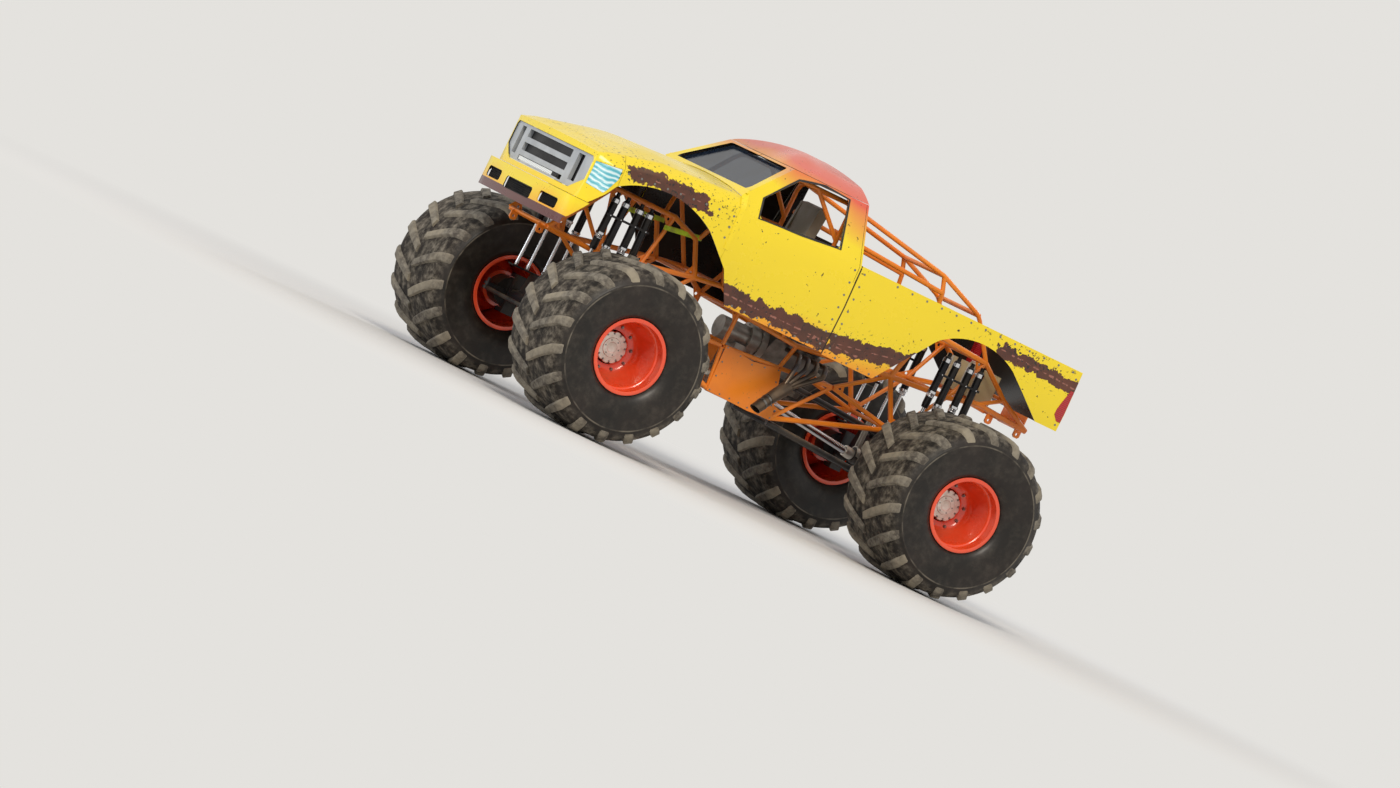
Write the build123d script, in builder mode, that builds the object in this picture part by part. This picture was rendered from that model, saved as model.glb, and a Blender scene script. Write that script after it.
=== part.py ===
from build123d import *
import math
import os

os.makedirs("parts", exist_ok=True)

# Driving dimensions in millimetres: +X is forward, +Y is left, +Z is up, the floor is at zero
wheelbase = 3800
track = 2740
axle_middle_x = 100
tyre_diameter = 1650
tyre_width = 1060
lug_height = 28
lugs_per_side = 13
lug_width = 80
tyre_wall = 34
rim_diameter = 710
bead_diameter = 660
rim_width = 920
rim_wall = 12
rim_flats = 24
hub_diameter = 340
hub_depth = 250
spindle_diameter = 120
spindle_reach = 110
running_gap = 5
kingpin_y = 880
steering_arm = 260
joint_clearance = 0.5
pin_radius = 14
frame_y = 430
rail_diameter = 50
web_diameter = 42
cross_diameter = 38
web_trim = 10
tube_sides = 8
drum_sides = 18
rear_reach_x = -2850
body_half_width = 1000
body_wall = 10
seam_gap = 4
belt_z = 2440
rocker_z = 1590
cab_rear_x = -180
cowl_x = 1180
nose_x = 2770
bed_end_x = -2750

front_axle_x = axle_middle_x + wheelbase / 2
rear_axle_x = axle_middle_x - wheelbase / 2
hub_z = tyre_diameter / 2
wheel_y = track / 2


def rod(start, end, diameter, sides=tube_sides):
    """A straight bar or tube from one point to another, its round drawn with flats."""
    start, end = Vector(start), Vector(end)
    run = end - start
    with BuildSketch(Plane(origin=start, z_dir=run)) as section:
        RegularPolygon(diameter / 2, sides)
    extrude(section.sketch, amount=run.length)


def shaft(start, end, diameter):
    """A truly round straight bar from one point to another."""
    start, end = Vector(start), Vector(end)
    run = end - start
    with BuildSketch(Plane(origin=start, z_dir=run)) as section:
        Circle(diameter / 2)
    extrude(section.sketch, amount=run.length)


def bent_tube(points, diameter, bend_radius=None):
    """A tube through the points, mitred at each, or with each bend in short straight runs."""
    stops = [Vector(point) for point in points]
    if bend_radius:
        bends = []
        for before, corner, after in zip(stops, stops[1:], stops[2:]):
            back, onward = (before - corner).normalized(), (after - corner).normalized()
            half_angle = math.radians(back.get_angle(onward)) / 2
            centre_way = (back + onward).normalized()
            bends.append(corner + back * (bend_radius / math.tan(half_angle)))
            bends.append(corner + centre_way * (bend_radius / math.sin(half_angle) - bend_radius))
            bends.append(corner + onward * (bend_radius / math.tan(half_angle)))
        stops = [stops[0], *bends, stops[-1]]
    with BuildLine(mode=Mode.PRIVATE) as path:
        Polyline(*stops)
    with BuildSketch(Plane(origin=path.line @ 0, z_dir=path.line % 0)) as section:
        RegularPolygon(diameter / 2, tube_sides)
    sweep(section.sketch, path=path.line, transition=Transition.RIGHT)


def plate(plane, points, thickness):
    """A flat plate of the outline given, centred on its plane."""
    with BuildSketch(plane) as outline:
        with BuildLine():
            Polyline(*points, close=True)
        make_face()
    extrude(outline.sketch, amount=thickness / 2, both=True)


# Side trusses of the frame, each member from one named node to another
nodes = {
    "front_end": (2610, 1550),
    "front_low": (2020, 1520),
    "front_foot": (1600, 1600),
    "front_rail": (1040, 1700),
    "cab_front": (740, 1740),
    "floor_front": (470, 1590),
    "floor_rear": (-220, 1540),
    "rear_rail": (-1240, 1660),
    "rear_low": (-1870, 1710),
    "rear_kick": (-2200, 1780),
    "rear_end": (-2780, 1740),
    "front_link": (1500, 1210),
    "belly_front": (430, 840),
    "belly_rear": (-290, 840),
    "rear_link": (-1490, 1210),
    "belly_top_front": (480, 1250),
    "belly_top_rear": (-150, 1290),
    "motor_foot": (-740, 1340),
    "front_tower_rear": (1490, 2120),
    "front_tower_front": (2180, 2120),
    "front_drop": (2360, 1860),
    "front_brace": (1200, 2020),
    "rear_tower_front": (-1400, 2200),
    "rear_tower_rear": (-2090, 2150),
    "rear_drop": (-2430, 1910),
}
rails = [
    ["front_end", "front_low", "front_foot", "front_rail", "cab_front", "floor_front", "floor_rear",
     "rear_rail", "rear_low", "rear_kick", "rear_end"],
    ["front_foot", "front_link", "belly_front", "belly_rear", "rear_link", "rear_rail"],
    ["front_rail", "front_brace", "front_tower_rear", "front_tower_front", "front_drop", "front_end"],
    ["rear_rail", "rear_tower_front", "rear_tower_rear", "rear_drop", "rear_end"],
]
webs = [
    ("front_foot", "front_tower_rear"),
    ("front_low", "front_link"),
    ("front_low", "front_tower_front"),
    ("front_drop", "front_low"),
    ("front_link", "front_rail"),
    ("floor_front", "belly_top_front"),
    ("belly_top_front", "belly_front"),
    ("floor_rear", "belly_top_rear"),
    ("belly_top_rear", "belly_rear"),
    ("belly_top_front", "belly_top_rear"),
    ("belly_top_front", "front_link"),
    ("belly_top_rear", "motor_foot"),
    ("belly_rear", "motor_foot"),
    ("motor_foot", "rear_rail"),
    ("motor_foot", "rear_link"),
    ("rear_low", "rear_link"),
    ("rear_low", "rear_tower_rear"),
    ("rear_kick", "rear_drop"),
]


def at_side(name, y):
    x, z = nodes[name]
    return (x, y, z)


for side_name, side in (("left", 1), ("right", -1)):
    y = side * frame_y
    with BuildPart() as truss:
        for rail in rails:
            bent_tube([at_side(name, y) for name in rail], rail_diameter)
        for start, end in webs:
            low, high = Vector(at_side(start, y)), Vector(at_side(end, y))
            trim = (high - low).normalized() * web_trim
            rod(low + trim, high - trim, web_diameter)
    truss.part.label = f"frame_{side_name}"
    export_step(truss.part, f"parts/frame_{side_name}.step")
    if side > 0:
        frame_left = truss
    else:
        frame_right = truss

# Cross members join the two trusses, between the inner faces of the rails, and carry a push plate at the rear
# and recovery eyes at both ends
crossed = ["front_end", "front_low", "front_rail", "cab_front", "floor_front", "rear_rail",
           "rear_low", "rear_kick", "rear_end", "belly_front", "belly_rear", "belly_top_front",
           "front_link", "rear_link", "motor_foot", "front_tower_rear", "front_tower_front",
           "rear_tower_front", "rear_tower_rear", "front_drop", "rear_drop"]
cross_reach = frame_y - rail_diameter / 2
rear_plate = 12
rear_plate_width = 480
rear_plate_height = 170
rear_plate_z = 1800
rear_plate_stay_y = 180
tow_eye_y = 300
tow_eye_drop = 60
tow_eye_thickness = 20
tow_eye_radius = 36
tow_bore_radius = 14
with BuildPart() as frame_cross:
    for name in crossed:
        rod(at_side(name, -cross_reach), at_side(name, cross_reach), cross_diameter)
    for y in (-rear_plate_stay_y, rear_plate_stay_y):
        rod(at_side("rear_end", y), (rear_reach_x + rear_plate / 2, y, nodes["rear_end"][1]), cross_diameter)
    with Locations((rear_reach_x + rear_plate / 2, 0, rear_plate_z)):
        Box(rear_plate, rear_plate_width, rear_plate_height)
    for name in ("front_end", "rear_end"):
        x, z = nodes[name]
        for y in (-tow_eye_y, tow_eye_y):
            with BuildSketch(Plane.XZ.offset(-y)) as eye:
                with Locations((x, z - (tow_eye_drop + tow_eye_radius) / 2)):
                    Rectangle(2 * tow_eye_radius, tow_eye_drop + tow_eye_radius)
                chamfer(eye.vertices().group_by(Axis.Z)[0], tow_eye_radius / 2)
                with Locations((x, z - tow_eye_drop)):
                    Circle(tow_bore_radius, mode=Mode.SUBTRACT)
            extrude(eye.sketch, amount=tow_eye_thickness / 2, both=True)
frame_cross.part.label = "frame_cross"
export_step(frame_cross.part, "parts/frame_cross.step")

# Roll cage: hoops behind and ahead of the seat, joined along the roof, with stays down to the rear towers
cage_tube = 45
hoop_x = -40
hoop_y = 560
hoop_z = 2920
screen_x = 640
dash_x = 1060
dash_z = 2400
rear_hoop_x = -1290
rear_hoop_z = 2710
with BuildPart() as roll_cage:
    bent_tube([(hoop_x, -frame_y, nodes["floor_rear"][1] + 10), (hoop_x, -hoop_y, 2100), (hoop_x, -hoop_y, hoop_z),
               (hoop_x, hoop_y, hoop_z), (hoop_x, hoop_y, 2100), (hoop_x, frame_y, nodes["floor_rear"][1] + 10)],
              cage_tube, 90)
    bent_tube([(dash_x, -hoop_y, dash_z), (screen_x, -hoop_y, hoop_z), (screen_x, hoop_y, hoop_z),
               (dash_x, hoop_y, dash_z)], cage_tube, 90)
    rod((dash_x, -hoop_y, dash_z), (dash_x, hoop_y, dash_z), cage_tube)
    for y in (-hoop_y, hoop_y):
        inner = math.copysign(frame_y, y)
        rod((hoop_x, y * 0.9, hoop_z), (screen_x, y * 0.9, hoop_z), cage_tube)
        rod((hoop_x, y, 2460), (dash_x, y, dash_z), cage_tube)
        rod((dash_x, y, dash_z), (nodes["front_brace"][0] - 30, inner, nodes["front_brace"][1] + 20), cage_tube)
        rod((hoop_x, y, 2560), (330, y * 0.9, hoop_z), cage_tube)
        rod((dash_x, y, dash_z), (nodes["cab_front"][0], inner, nodes["cab_front"][1]), cage_tube)
        rod((hoop_x, y, 2460), (nodes["floor_front"][0], inner, nodes["floor_front"][1]), cage_tube)
        bent_tube([(hoop_x, inner, hoop_z), (rear_hoop_x, inner, rear_hoop_z), (-1800, inner, 2520),
                   (nodes["rear_tower_rear"][0], inner, nodes["rear_tower_rear"][1])], cage_tube, 160)
        rod((hoop_x, inner, 2640), (rear_hoop_x - 60, inner, 2560), cage_tube)
        rod((rear_hoop_x - 60, inner, 2560), (nodes["rear_tower_front"][0], inner, nodes["rear_tower_front"][1]),
            cage_tube)
        rod((rear_hoop_x, inner, rear_hoop_z), (rear_hoop_x - 60, inner, 2560), cage_tube)
    for x, z in ((rear_hoop_x, rear_hoop_z), (-1800, 2520)):
        rod((x, -frame_y, z), (x, frame_y, z), cage_tube)
    add(frame_left.part, mode=Mode.SUBTRACT)
    add(frame_right.part, mode=Mode.SUBTRACT)
    add(frame_cross.part, mode=Mode.SUBTRACT)
roll_cage.part.label = "roll_cage"
export_step(roll_cage.part, "parts/roll_cage.step")

# Belly panels: flat side plates over the middle of the frame
panel_thickness = 6
with BuildPart() as belly_panels:
    for side in (-1, 1):
        y = side * (frame_y + rail_diameter / 2 + panel_thickness / 2)
        with BuildSketch(Plane.XZ.offset(-y)) as outline:
            with BuildLine():
                Polyline((455, 1275), (140, 1240), (-165, 1290), (-300, 825), (-30, 810), (440, 825), close=True)
            make_face()
        extrude(outline.sketch, amount=panel_thickness / 2, both=True)
belly_panels.part.label = "belly_panels"
export_step(belly_panels.part, "parts/belly_panels.step")

# Body front: one skin lofted through cross-sections, rounded in plan, then parted into its panels
# Columns: x, height of the side's upper edge, height of the hood's edge, height of the hood's middle
clip_stations = [
    (cowl_x, belt_z, 2555, 2610),
    (2060, 2395, 2505, 2560),
    (2560, 2295, 2395, 2445),
    (2800, 2235, 2315, 2350),
]
sill_y = body_half_width - 22
waist_z = 2050
nose_corner_x = 2440
lamp_corner = (2700, 880)


def clip_volume(inset):
    """The space inside the front body, with its sides moved in by the inset."""
    with BuildPart() as volume:
        for x, side_z, edge_z, crown_z in clip_stations:
            with BuildSketch(Plane.YZ.offset(x)):
                with BuildLine():
                    side = [(sill_y - inset, 1400), (body_half_width - inset, waist_z),
                            (body_half_width - 26 - inset, side_z - inset), (870 - inset, edge_z - inset)]
                    Polyline(*side)
                    Polyline(*[(-y, z) for y, z in side])
                    ThreePointArc(side[-1], (0, crown_z - inset), (-side[-1][0], side[-1][1]))
                    Line(side[0], (-side[0][0], side[0][1]))
                make_face()
        loft(ruled=True)
        with BuildSketch(Plane.XY.offset(1300), mode=Mode.PRIVATE) as plan:
            with BuildLine():
                back = cowl_x - 200
                edge = [(back, body_half_width + 50 - inset), (nose_corner_x, body_half_width + 50 - inset),
                        (lamp_corner[0] - inset, lamp_corner[1] - inset)]
                Polyline(*edge)
                Polyline(*[(x, -y) for x, y in edge])
                Line(edge[0], (back, -edge[0][1]))
                ThreePointArc(edge[-1], (nose_x - inset, 0), (edge[-1][0], -edge[-1][1]))
            make_face()
        extrude(plan.sketch, amount=1500, mode=Mode.INTERSECT)
    return volume.part


with BuildPart() as clip_skin:
    add(clip_volume(0))
    add(clip_volume(body_wall), mode=Mode.SUBTRACT)
    with Locations((cowl_x, 0, 2300)):
        Box(2.5 * body_wall, 2 * body_half_width - 2.2 * body_wall, 900, mode=Mode.SUBTRACT)

# Outlines seen from the side: arches and the lower edge of the front and the bed
arch_front = [(930, rocker_z), (1100, 1890), (1390, 2140), (1920, 2290), (2440, 2140), (2765, 1680)]
arch_rear = [(-760, 1565), (-1190, 2120), (-1660, 2300), (-2070, 2190), (-2500, 1870)]
fender_end_x = 2432
hood_half_width = 845
hood_front_x = 2610
hood_low_z = 2345


def side_cut(points, low_z):
    """A prism across the whole body that takes away an arch and what is below it."""
    rear, knee, arc_start, arc_top, arc_end, front = points
    with BuildSketch(Plane.XZ, mode=Mode.PRIVATE) as opening:
        with BuildLine():
            Polyline((rear[0], low_z), rear, knee, arc_start)
            ThreePointArc(arc_start, arc_top, arc_end)
            Polyline(arc_end, front, (front[0], low_z), (rear[0], low_z))
        make_face()
    extrude(opening.sketch, amount=body_half_width + 200, both=True, mode=Mode.SUBTRACT)


with BuildPart() as hood:
    add(clip_skin.part)
    with Locations(((cowl_x + hood_front_x) / 2, 0, hood_low_z + 250)):
        Box(hood_front_x - cowl_x - seam_gap, 2 * hood_half_width, 500, mode=Mode.INTERSECT)
hood.part.label = "hood"
export_step(hood.part, "parts/hood.step")

for side_name, side in (("left", 1), ("right", -1)):
    with BuildPart() as fender:
        add(clip_skin.part)
        with Locations(((cowl_x + fender_end_x) / 2, side * (hood_half_width + seam_gap + 300), 2000)):
            Box(fender_end_x - cowl_x - seam_gap, 600, 1400, mode=Mode.INTERSECT)
        side_cut(arch_front, 1300)
        with Locations((cowl_x, 0, 1300)):
            Box(1000, 3000, 2 * (rocker_z - 1300), mode=Mode.SUBTRACT)
    fender.part.label = f"fender_{side_name}"
    export_step(fender.part, f"parts/fender_{side_name}.step")

# Nose: the panel round the grille and the lamps
grille_half_width = 860
grille_low_z = 1950
grille_top_z = 2300
mouth_outline = [(grille_half_width - 30, grille_top_z), (grille_half_width, grille_top_z - 30),
                 (grille_half_width, 2075), (670, grille_low_z)]
mouth_outline += [(-y, z) for y, z in mouth_outline[::-1]]
nose_low_z = 1900
lamp_outline = [(2450, 2200), (2450, 2303), (2688, 2270), (2688, 2050), (2535, 2036)]
with BuildPart() as nose:
    add(clip_skin.part)
    with Locations(((fender_end_x + 2900) / 2, 0, 2300)):
        Box(2900 - fender_end_x - seam_gap, 2200, 2 * (2300 - nose_low_z), mode=Mode.INTERSECT)
    with Locations(((cowl_x + hood_front_x) / 2, 0, hood_low_z - seam_gap + 250)):
        Box(hood_front_x - cowl_x + seam_gap, 2 * (hood_half_width + seam_gap), 500, mode=Mode.SUBTRACT)
    with BuildSketch(Plane.YZ.offset(2500), mode=Mode.PRIVATE) as mouth:
        with BuildLine():
            Polyline(*mouth_outline, close=True)
        make_face()
    extrude(mouth.sketch, amount=500, mode=Mode.SUBTRACT)
    for side in (-1, 1):
        with BuildSketch(Plane.XZ.offset(-side * 600), mode=Mode.PRIVATE) as eye:
            with BuildLine():
                Polyline(*lamp_outline, close=True)
            make_face()
        extrude(eye.sketch, amount=-side * 500, mode=Mode.SUBTRACT)
    side_cut(arch_front, 1300)
nose.part.label = "nose"
export_step(nose.part, "parts/nose.step")

# Lamps: a thick lens at each front corner and a tail lamp at each rear corner
lamp_depth = 50
tail_lamp_low = 1960
tail_lamp_high = 2330
with BuildPart() as lens_skin:
    add(clip_volume(1))
    add(clip_volume(lamp_depth), mode=Mode.SUBTRACT)
with BuildPart() as lamps:
    add(lens_skin.part)
    with BuildSketch(Plane.XZ, mode=Mode.PRIVATE) as eye:
        with BuildLine():
            Polyline(*lamp_outline, close=True)
        make_face()
        offset(amount=-seam_gap / 2, kind=Kind.INTERSECTION)
    extrude(eye.sketch, amount=1100, both=True, mode=Mode.INTERSECT)
    with Locations((2500, 0, 2200)):
        Box(1000, 2 * (grille_half_width + 2 * seam_gap), 600, mode=Mode.SUBTRACT)
    for side in (-1, 1):
        with Locations((bed_end_x + 40, side * (body_half_width - 60), (tail_lamp_low + tail_lamp_high) / 2)):
            Box(90, 70, tail_lamp_high - tail_lamp_low)
lamps.part.label = "lamps"
export_step(lamps.part, "parts/lamps.step")

# Grille: a deep surround with two wide slots, a narrow one below them and an upright slot at each end
grille_gap = 3
grille_depth = 40
# Columns: distance from the truck's middle line, height of the slot's middle, its width and its height
grille_slots = [(0, 2232, 970, 76), (0, 2103, 970, 76), (0, 1992, 970, 46), (650, 2140, 110, 260),
                (-650, 2140, 110, 260)]
with BuildPart() as grille:
    with BuildSketch(Plane.XY.offset(grille_low_z)):
        with BuildLine():
            face_line = [(2692, grille_half_width), (2727, 600), (2752, 300), (2760, 0), (2752, -300), (2727, -600),
                         (2692, -grille_half_width)]
            Polyline(*face_line, *[(x - grille_depth, y) for x, y in face_line[::-1]], close=True)
        make_face()
    extrude(amount=grille_top_z - grille_low_z)
    with BuildSketch(Plane.YZ.offset(2500), mode=Mode.PRIVATE) as mouth:
        with BuildLine():
            Polyline(*mouth_outline, close=True)
        make_face()
        offset(amount=-grille_gap, kind=Kind.INTERSECTION)
    extrude(mouth.sketch, amount=500, mode=Mode.INTERSECT)
    for y, z, slot_width, slot_height in grille_slots:
        with Locations((2700, y, z)):
            Box(200, slot_width, slot_height, mode=Mode.SUBTRACT)
grille.part.label = "grille"
export_step(grille.part, "parts/grille.step")

# Bumper: a deep moulded skin under the nose, with duct openings
bumper_low_z = 1620
bumper_top_z = nose_low_z - seam_gap
bumper_front_x = 2850
with BuildPart() as bumper:
    for inset, mode in ((0, Mode.ADD), (body_wall, Mode.SUBTRACT)):
        with BuildSketch(Plane.XY.offset(bumper_low_z - (5 if inset else 0)), mode=Mode.PRIVATE) as plan:
            with BuildLine():
                edge = [(2560 - (5 if inset else 0), 1005 - inset), (2740 - inset, 965 - inset),
                        (2795 - inset, 870 - inset)]
                Polyline(*edge)
                Polyline(*[(x, -y) for x, y in edge])
                Line(edge[0], (edge[0][0], -edge[0][1]))
                ThreePointArc(edge[-1], (bumper_front_x - inset, 0), (edge[-1][0], -edge[-1][1]))
            make_face()
        extrude(plan.sketch, amount=bumper_top_z - bumper_low_z - inset, mode=mode)
    with BuildSketch(Plane.YZ.offset(2500), mode=Mode.PRIVATE) as ducts:
        with Locations((0, 1745)):
            Rectangle(580, 110)
        with Locations((-605, 1765), (605, 1765)):
            Rectangle(340, 100)
        chamfer(ducts.vertices(), 18)
    extrude(ducts.sketch, amount=500, mode=Mode.SUBTRACT)
    side_cut([(900, 1600)] + arch_front[1:], 1300)
bumper.part.label = "bumper"
export_step(bumper.part, "parts/bumper.step")

# Cab: side walls that lean in above the belt, a crowned roof and a raked windscreen, parted into panels
roof_edge_z = 2990
roof_crown_x = 200
roof_crown_z = 3170
roof_rear_x = -100
roof_rear_z = 3100
roof_front_x = 700
roof_front_z = 3020
screen_base_z = 2600
roof_half_width = 700
tunnel_half_width = 400
tunnel_top_z = 2130


def cab_volume(inset):
    with BuildPart() as volume:
        with BuildSketch(Plane.YZ.offset(cab_rear_x - 20)):
            with BuildLine():
                side = [(sill_y - inset, 1400), (body_half_width - inset, waist_z),
                        (body_half_width - 26 - inset, belt_z), (roof_half_width - inset, roof_edge_z - inset)]
                Polyline(*side)
                Polyline(*[(-y, z) for y, z in side])
                ThreePointArc(side[-1], (0, roof_crown_z - inset), (-side[-1][0], side[-1][1]))
                Line(side[0], (-side[0][0], side[0][1]))
            make_face()
        extrude(amount=1700)
        with BuildSketch(Plane.XZ, mode=Mode.PRIVATE) as profile:
            with BuildLine():
                rear = [(cab_rear_x + inset, 1380), (cab_rear_x + inset, belt_z),
                        (roof_rear_x + inset, roof_rear_z - inset)]
                front = [(cowl_x - inset * 1.6, 1380), (cowl_x - inset * 1.6, screen_base_z - inset),
                         (roof_front_x - inset, roof_front_z - inset)]
                Polyline(*rear)
                Polyline(*front)
                Line(rear[0], front[0])
                ThreePointArc(rear[-1], (roof_crown_x, roof_crown_z + 5 - inset), front[-1])
            make_face()
        extrude(profile.sketch, amount=1500, both=True, mode=Mode.INTERSECT)
    return volume.part


window = [(92, 2515), (690, 2470), (985, 2445), (980, 2630), (660, 2905), (390, 2962), (110, 2950)]
with BuildPart() as cab_skin:
    add(cab_volume(0))
    add(cab_volume(body_wall), mode=Mode.SUBTRACT)
    with BuildSketch(Plane.XZ, mode=Mode.PRIVATE) as side_glass:
        with BuildLine():
            Polyline(*window, close=True)
        make_face()
        fillet(side_glass.vertices(), 30)
    extrude(side_glass.sketch, amount=1200, both=True, mode=Mode.SUBTRACT)
    with BuildSketch(Plane.YZ.offset(cab_rear_x - 50), mode=Mode.PRIVATE) as back_glass:
        with Locations((0, 2745)):
            Trapezoid(1240, 430, 75)
        fillet(back_glass.vertices(), 50)
    extrude(back_glass.sketch, amount=200, mode=Mode.SUBTRACT)
    with BuildSketch(Plane.YZ.offset(500), mode=Mode.PRIVATE) as front_glass:
        with BuildLine():
            Polyline((-790, 2625), (790, 2625), (600, 2965), (-600, 2965), close=True)
        make_face()
        fillet(front_glass.vertices(), 40)
    extrude(front_glass.sketch, amount=900, mode=Mode.SUBTRACT)
    with Locations((cowl_x, 0, 1900)):
        Box(4 * body_wall, 2 * (body_half_width - body_wall), 1390, mode=Mode.SUBTRACT)
    with Locations((0, 0, 1300)):
        Box(4000, 3000, 2 * (rocker_z - 1300), mode=Mode.SUBTRACT)

with BuildPart() as roof:
    add(cab_skin.part)
    with Locations((400, 0, roof_edge_z + 500)):
        Box(2000, 3000, 1000, mode=Mode.INTERSECT)
roof.part.label = "roof"
export_step(roof.part, "parts/roof.step")

back_strip = 20


def back_region(margin):
    """The slab that parts the cab's back from its sides, which follows the back's slope."""
    slope = (roof_rear_x - cab_rear_x) / (roof_rear_z - belt_z)
    top_z = roof_edge_z - seam_gap + margin
    line_x = cab_rear_x + back_strip + margin
    with BuildPart() as region:
        with BuildSketch(Plane.XZ, mode=Mode.PRIVATE) as outline:
            with BuildLine():
                Polyline((cab_rear_x - 200, 1300), (line_x, 1300), (line_x, belt_z),
                         (line_x + slope * (top_z - belt_z), top_z), (cab_rear_x - 200, top_z), close=True)
            make_face()
        extrude(outline.sketch, amount=body_half_width - 2 * body_wall + margin, both=True)
    return region.part


with BuildPart() as cab_back:
    add(cab_skin.part)
    add(back_region(0), mode=Mode.INTERSECT)
    with Locations((cab_rear_x, 0, rocker_z)):
        Box(100, 2 * tunnel_half_width, 2 * (tunnel_top_z - rocker_z), mode=Mode.SUBTRACT)
cab_back.part.label = "cab_back"
export_step(cab_back.part, "parts/cab_back.step")

for side_name, side in (("left", 1), ("right", -1)):
    with BuildPart() as cab_side:
        add(cab_skin.part)
        with Locations((400, side * 1000, roof_edge_z - seam_gap - 1000)):
            Box(2000, 2000 - 2 * seam_gap, 2000, mode=Mode.INTERSECT)
        add(back_region(seam_gap), mode=Mode.SUBTRACT)
        side_cut(arch_front, 1300)
    cab_side.part.label = f"cab_{side_name}"
    export_step(cab_side.part, f"parts/cab_{side_name}.step")

# Windscreen: one flat clear sheet behind its opening
screen_thickness = 6
screen_run = Vector(cowl_x - roof_front_x, 0, screen_base_z - roof_front_z)
with BuildPart() as windscreen:
    screen_plane = Plane(origin=(roof_front_x - body_wall * 2.2, 0, roof_front_z - body_wall * 2.2),
                         x_dir=(0, 1, 0), z_dir=(roof_front_z - screen_base_z, 0, cowl_x - roof_front_x))
    length = screen_run.length
    with BuildSketch(screen_plane):
        with BuildLine():
            Polyline((-610, -70), (610, -70), (810, -length + 15), (-810, -length + 15), close=True)
        make_face()
    extrude(amount=-screen_thickness)
windscreen.part.label = "windscreen"
export_step(windscreen.part, "parts/windscreen.step")

# Bed: side skins with a flat rail on top, and a tailgate between them
rail_z = 2462
rail_width = 95
tailgate_half_width = 780
bed_low_z = 1868


def bed_volume(inset):
    with BuildPart() as volume:
        with BuildSketch(Plane.YZ.offset(bed_end_x + inset)):
            with BuildLine():
                side = [(sill_y - inset, 1400), (body_half_width - inset, waist_z),
                        (body_half_width - 24 - inset, rail_z - inset)]
                Polyline(*side)
                Polyline(*[(-y, z) for y, z in side])
                Line(side[-1], (-side[-1][0], side[-1][1]))
                Line(side[0], (-side[0][0], side[0][1]))
            make_face()
        extrude(amount=cab_rear_x - seam_gap - bed_end_x - inset)
    return volume.part


with BuildPart() as bed_skin:
    add(bed_volume(0))
    add(bed_volume(body_wall), mode=Mode.SUBTRACT)
    with Locations(((bed_end_x + cab_rear_x) / 2 + 20, 0, rail_z)):
        Box(cab_rear_x - bed_end_x - 120, 2 * (body_half_width - 24 - rail_width), 100, mode=Mode.SUBTRACT)
    with Locations((cab_rear_x, 0, rail_z)):
        Box(400, 2 * (body_half_width - 24 - rail_width), 100, mode=Mode.SUBTRACT)
    side_cut(arch_rear[:2] + [(-1230, 2160)] + arch_rear[2:], 1300)
    with Locations((bed_end_x, 0, 1300)):
        Box(560, 3000, 2 * (bed_low_z - 1300), mode=Mode.SUBTRACT)
    with Locations((-400, 0, 1300)):
        Box(800, 3000, 2 * (1575 - 1300), mode=Mode.SUBTRACT)
    for side in (-1, 1):
        with Locations((bed_end_x + 40, side * (body_half_width - 60), (tail_lamp_low + tail_lamp_high) / 2)):
            Box(94, 74, tail_lamp_high - tail_lamp_low + 4, mode=Mode.SUBTRACT)

for side_name, side in (("left", 1), ("right", -1)):
    with BuildPart() as bed_side:
        add(bed_skin.part)
        with Locations((-1400, side * (tailgate_half_width + seam_gap + 300), 2000)):
            Box(2900, 600, 1400, mode=Mode.INTERSECT)
    bed_side.part.label = f"bed_{side_name}"
    export_step(bed_side.part, f"parts/bed_{side_name}.step")

with BuildPart() as tailgate:
    add(bed_skin.part)
    with Locations((bed_end_x + 30, 0, 2200)):
        Box(70, 2 * tailgate_half_width, 1000, mode=Mode.INTERSECT)
tailgate.part.label = "tailgate"
export_step(tailgate.part, "parts/tailgate.step")

# Seat: a moulded shell with a base, a back and side wings
with BuildPart() as seat:
    with BuildSketch(Plane.XZ.offset(-210)):
        with BuildLine():
            Polyline((60, 2000), (520, 2040), (530, 2110), (420, 2130), (190, 2090), (120, 2230), (60, 2760),
                     (-10, 2780), (-40, 2740), (10, 2200), close=True)
        make_face()
    extrude(amount=420)
    with BuildSketch(Plane.XZ.offset(-175)):
        with BuildLine():
            Polyline((100, 2040), (600, 2070), (600, 2200), (210, 2130), (140, 2300), (90, 2900), (50, 2900),
                     close=True)
        make_face()
    extrude(amount=350, mode=Mode.SUBTRACT)
seat.part.label = "seat"
export_step(seat.part, "parts/seat.step")

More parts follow.
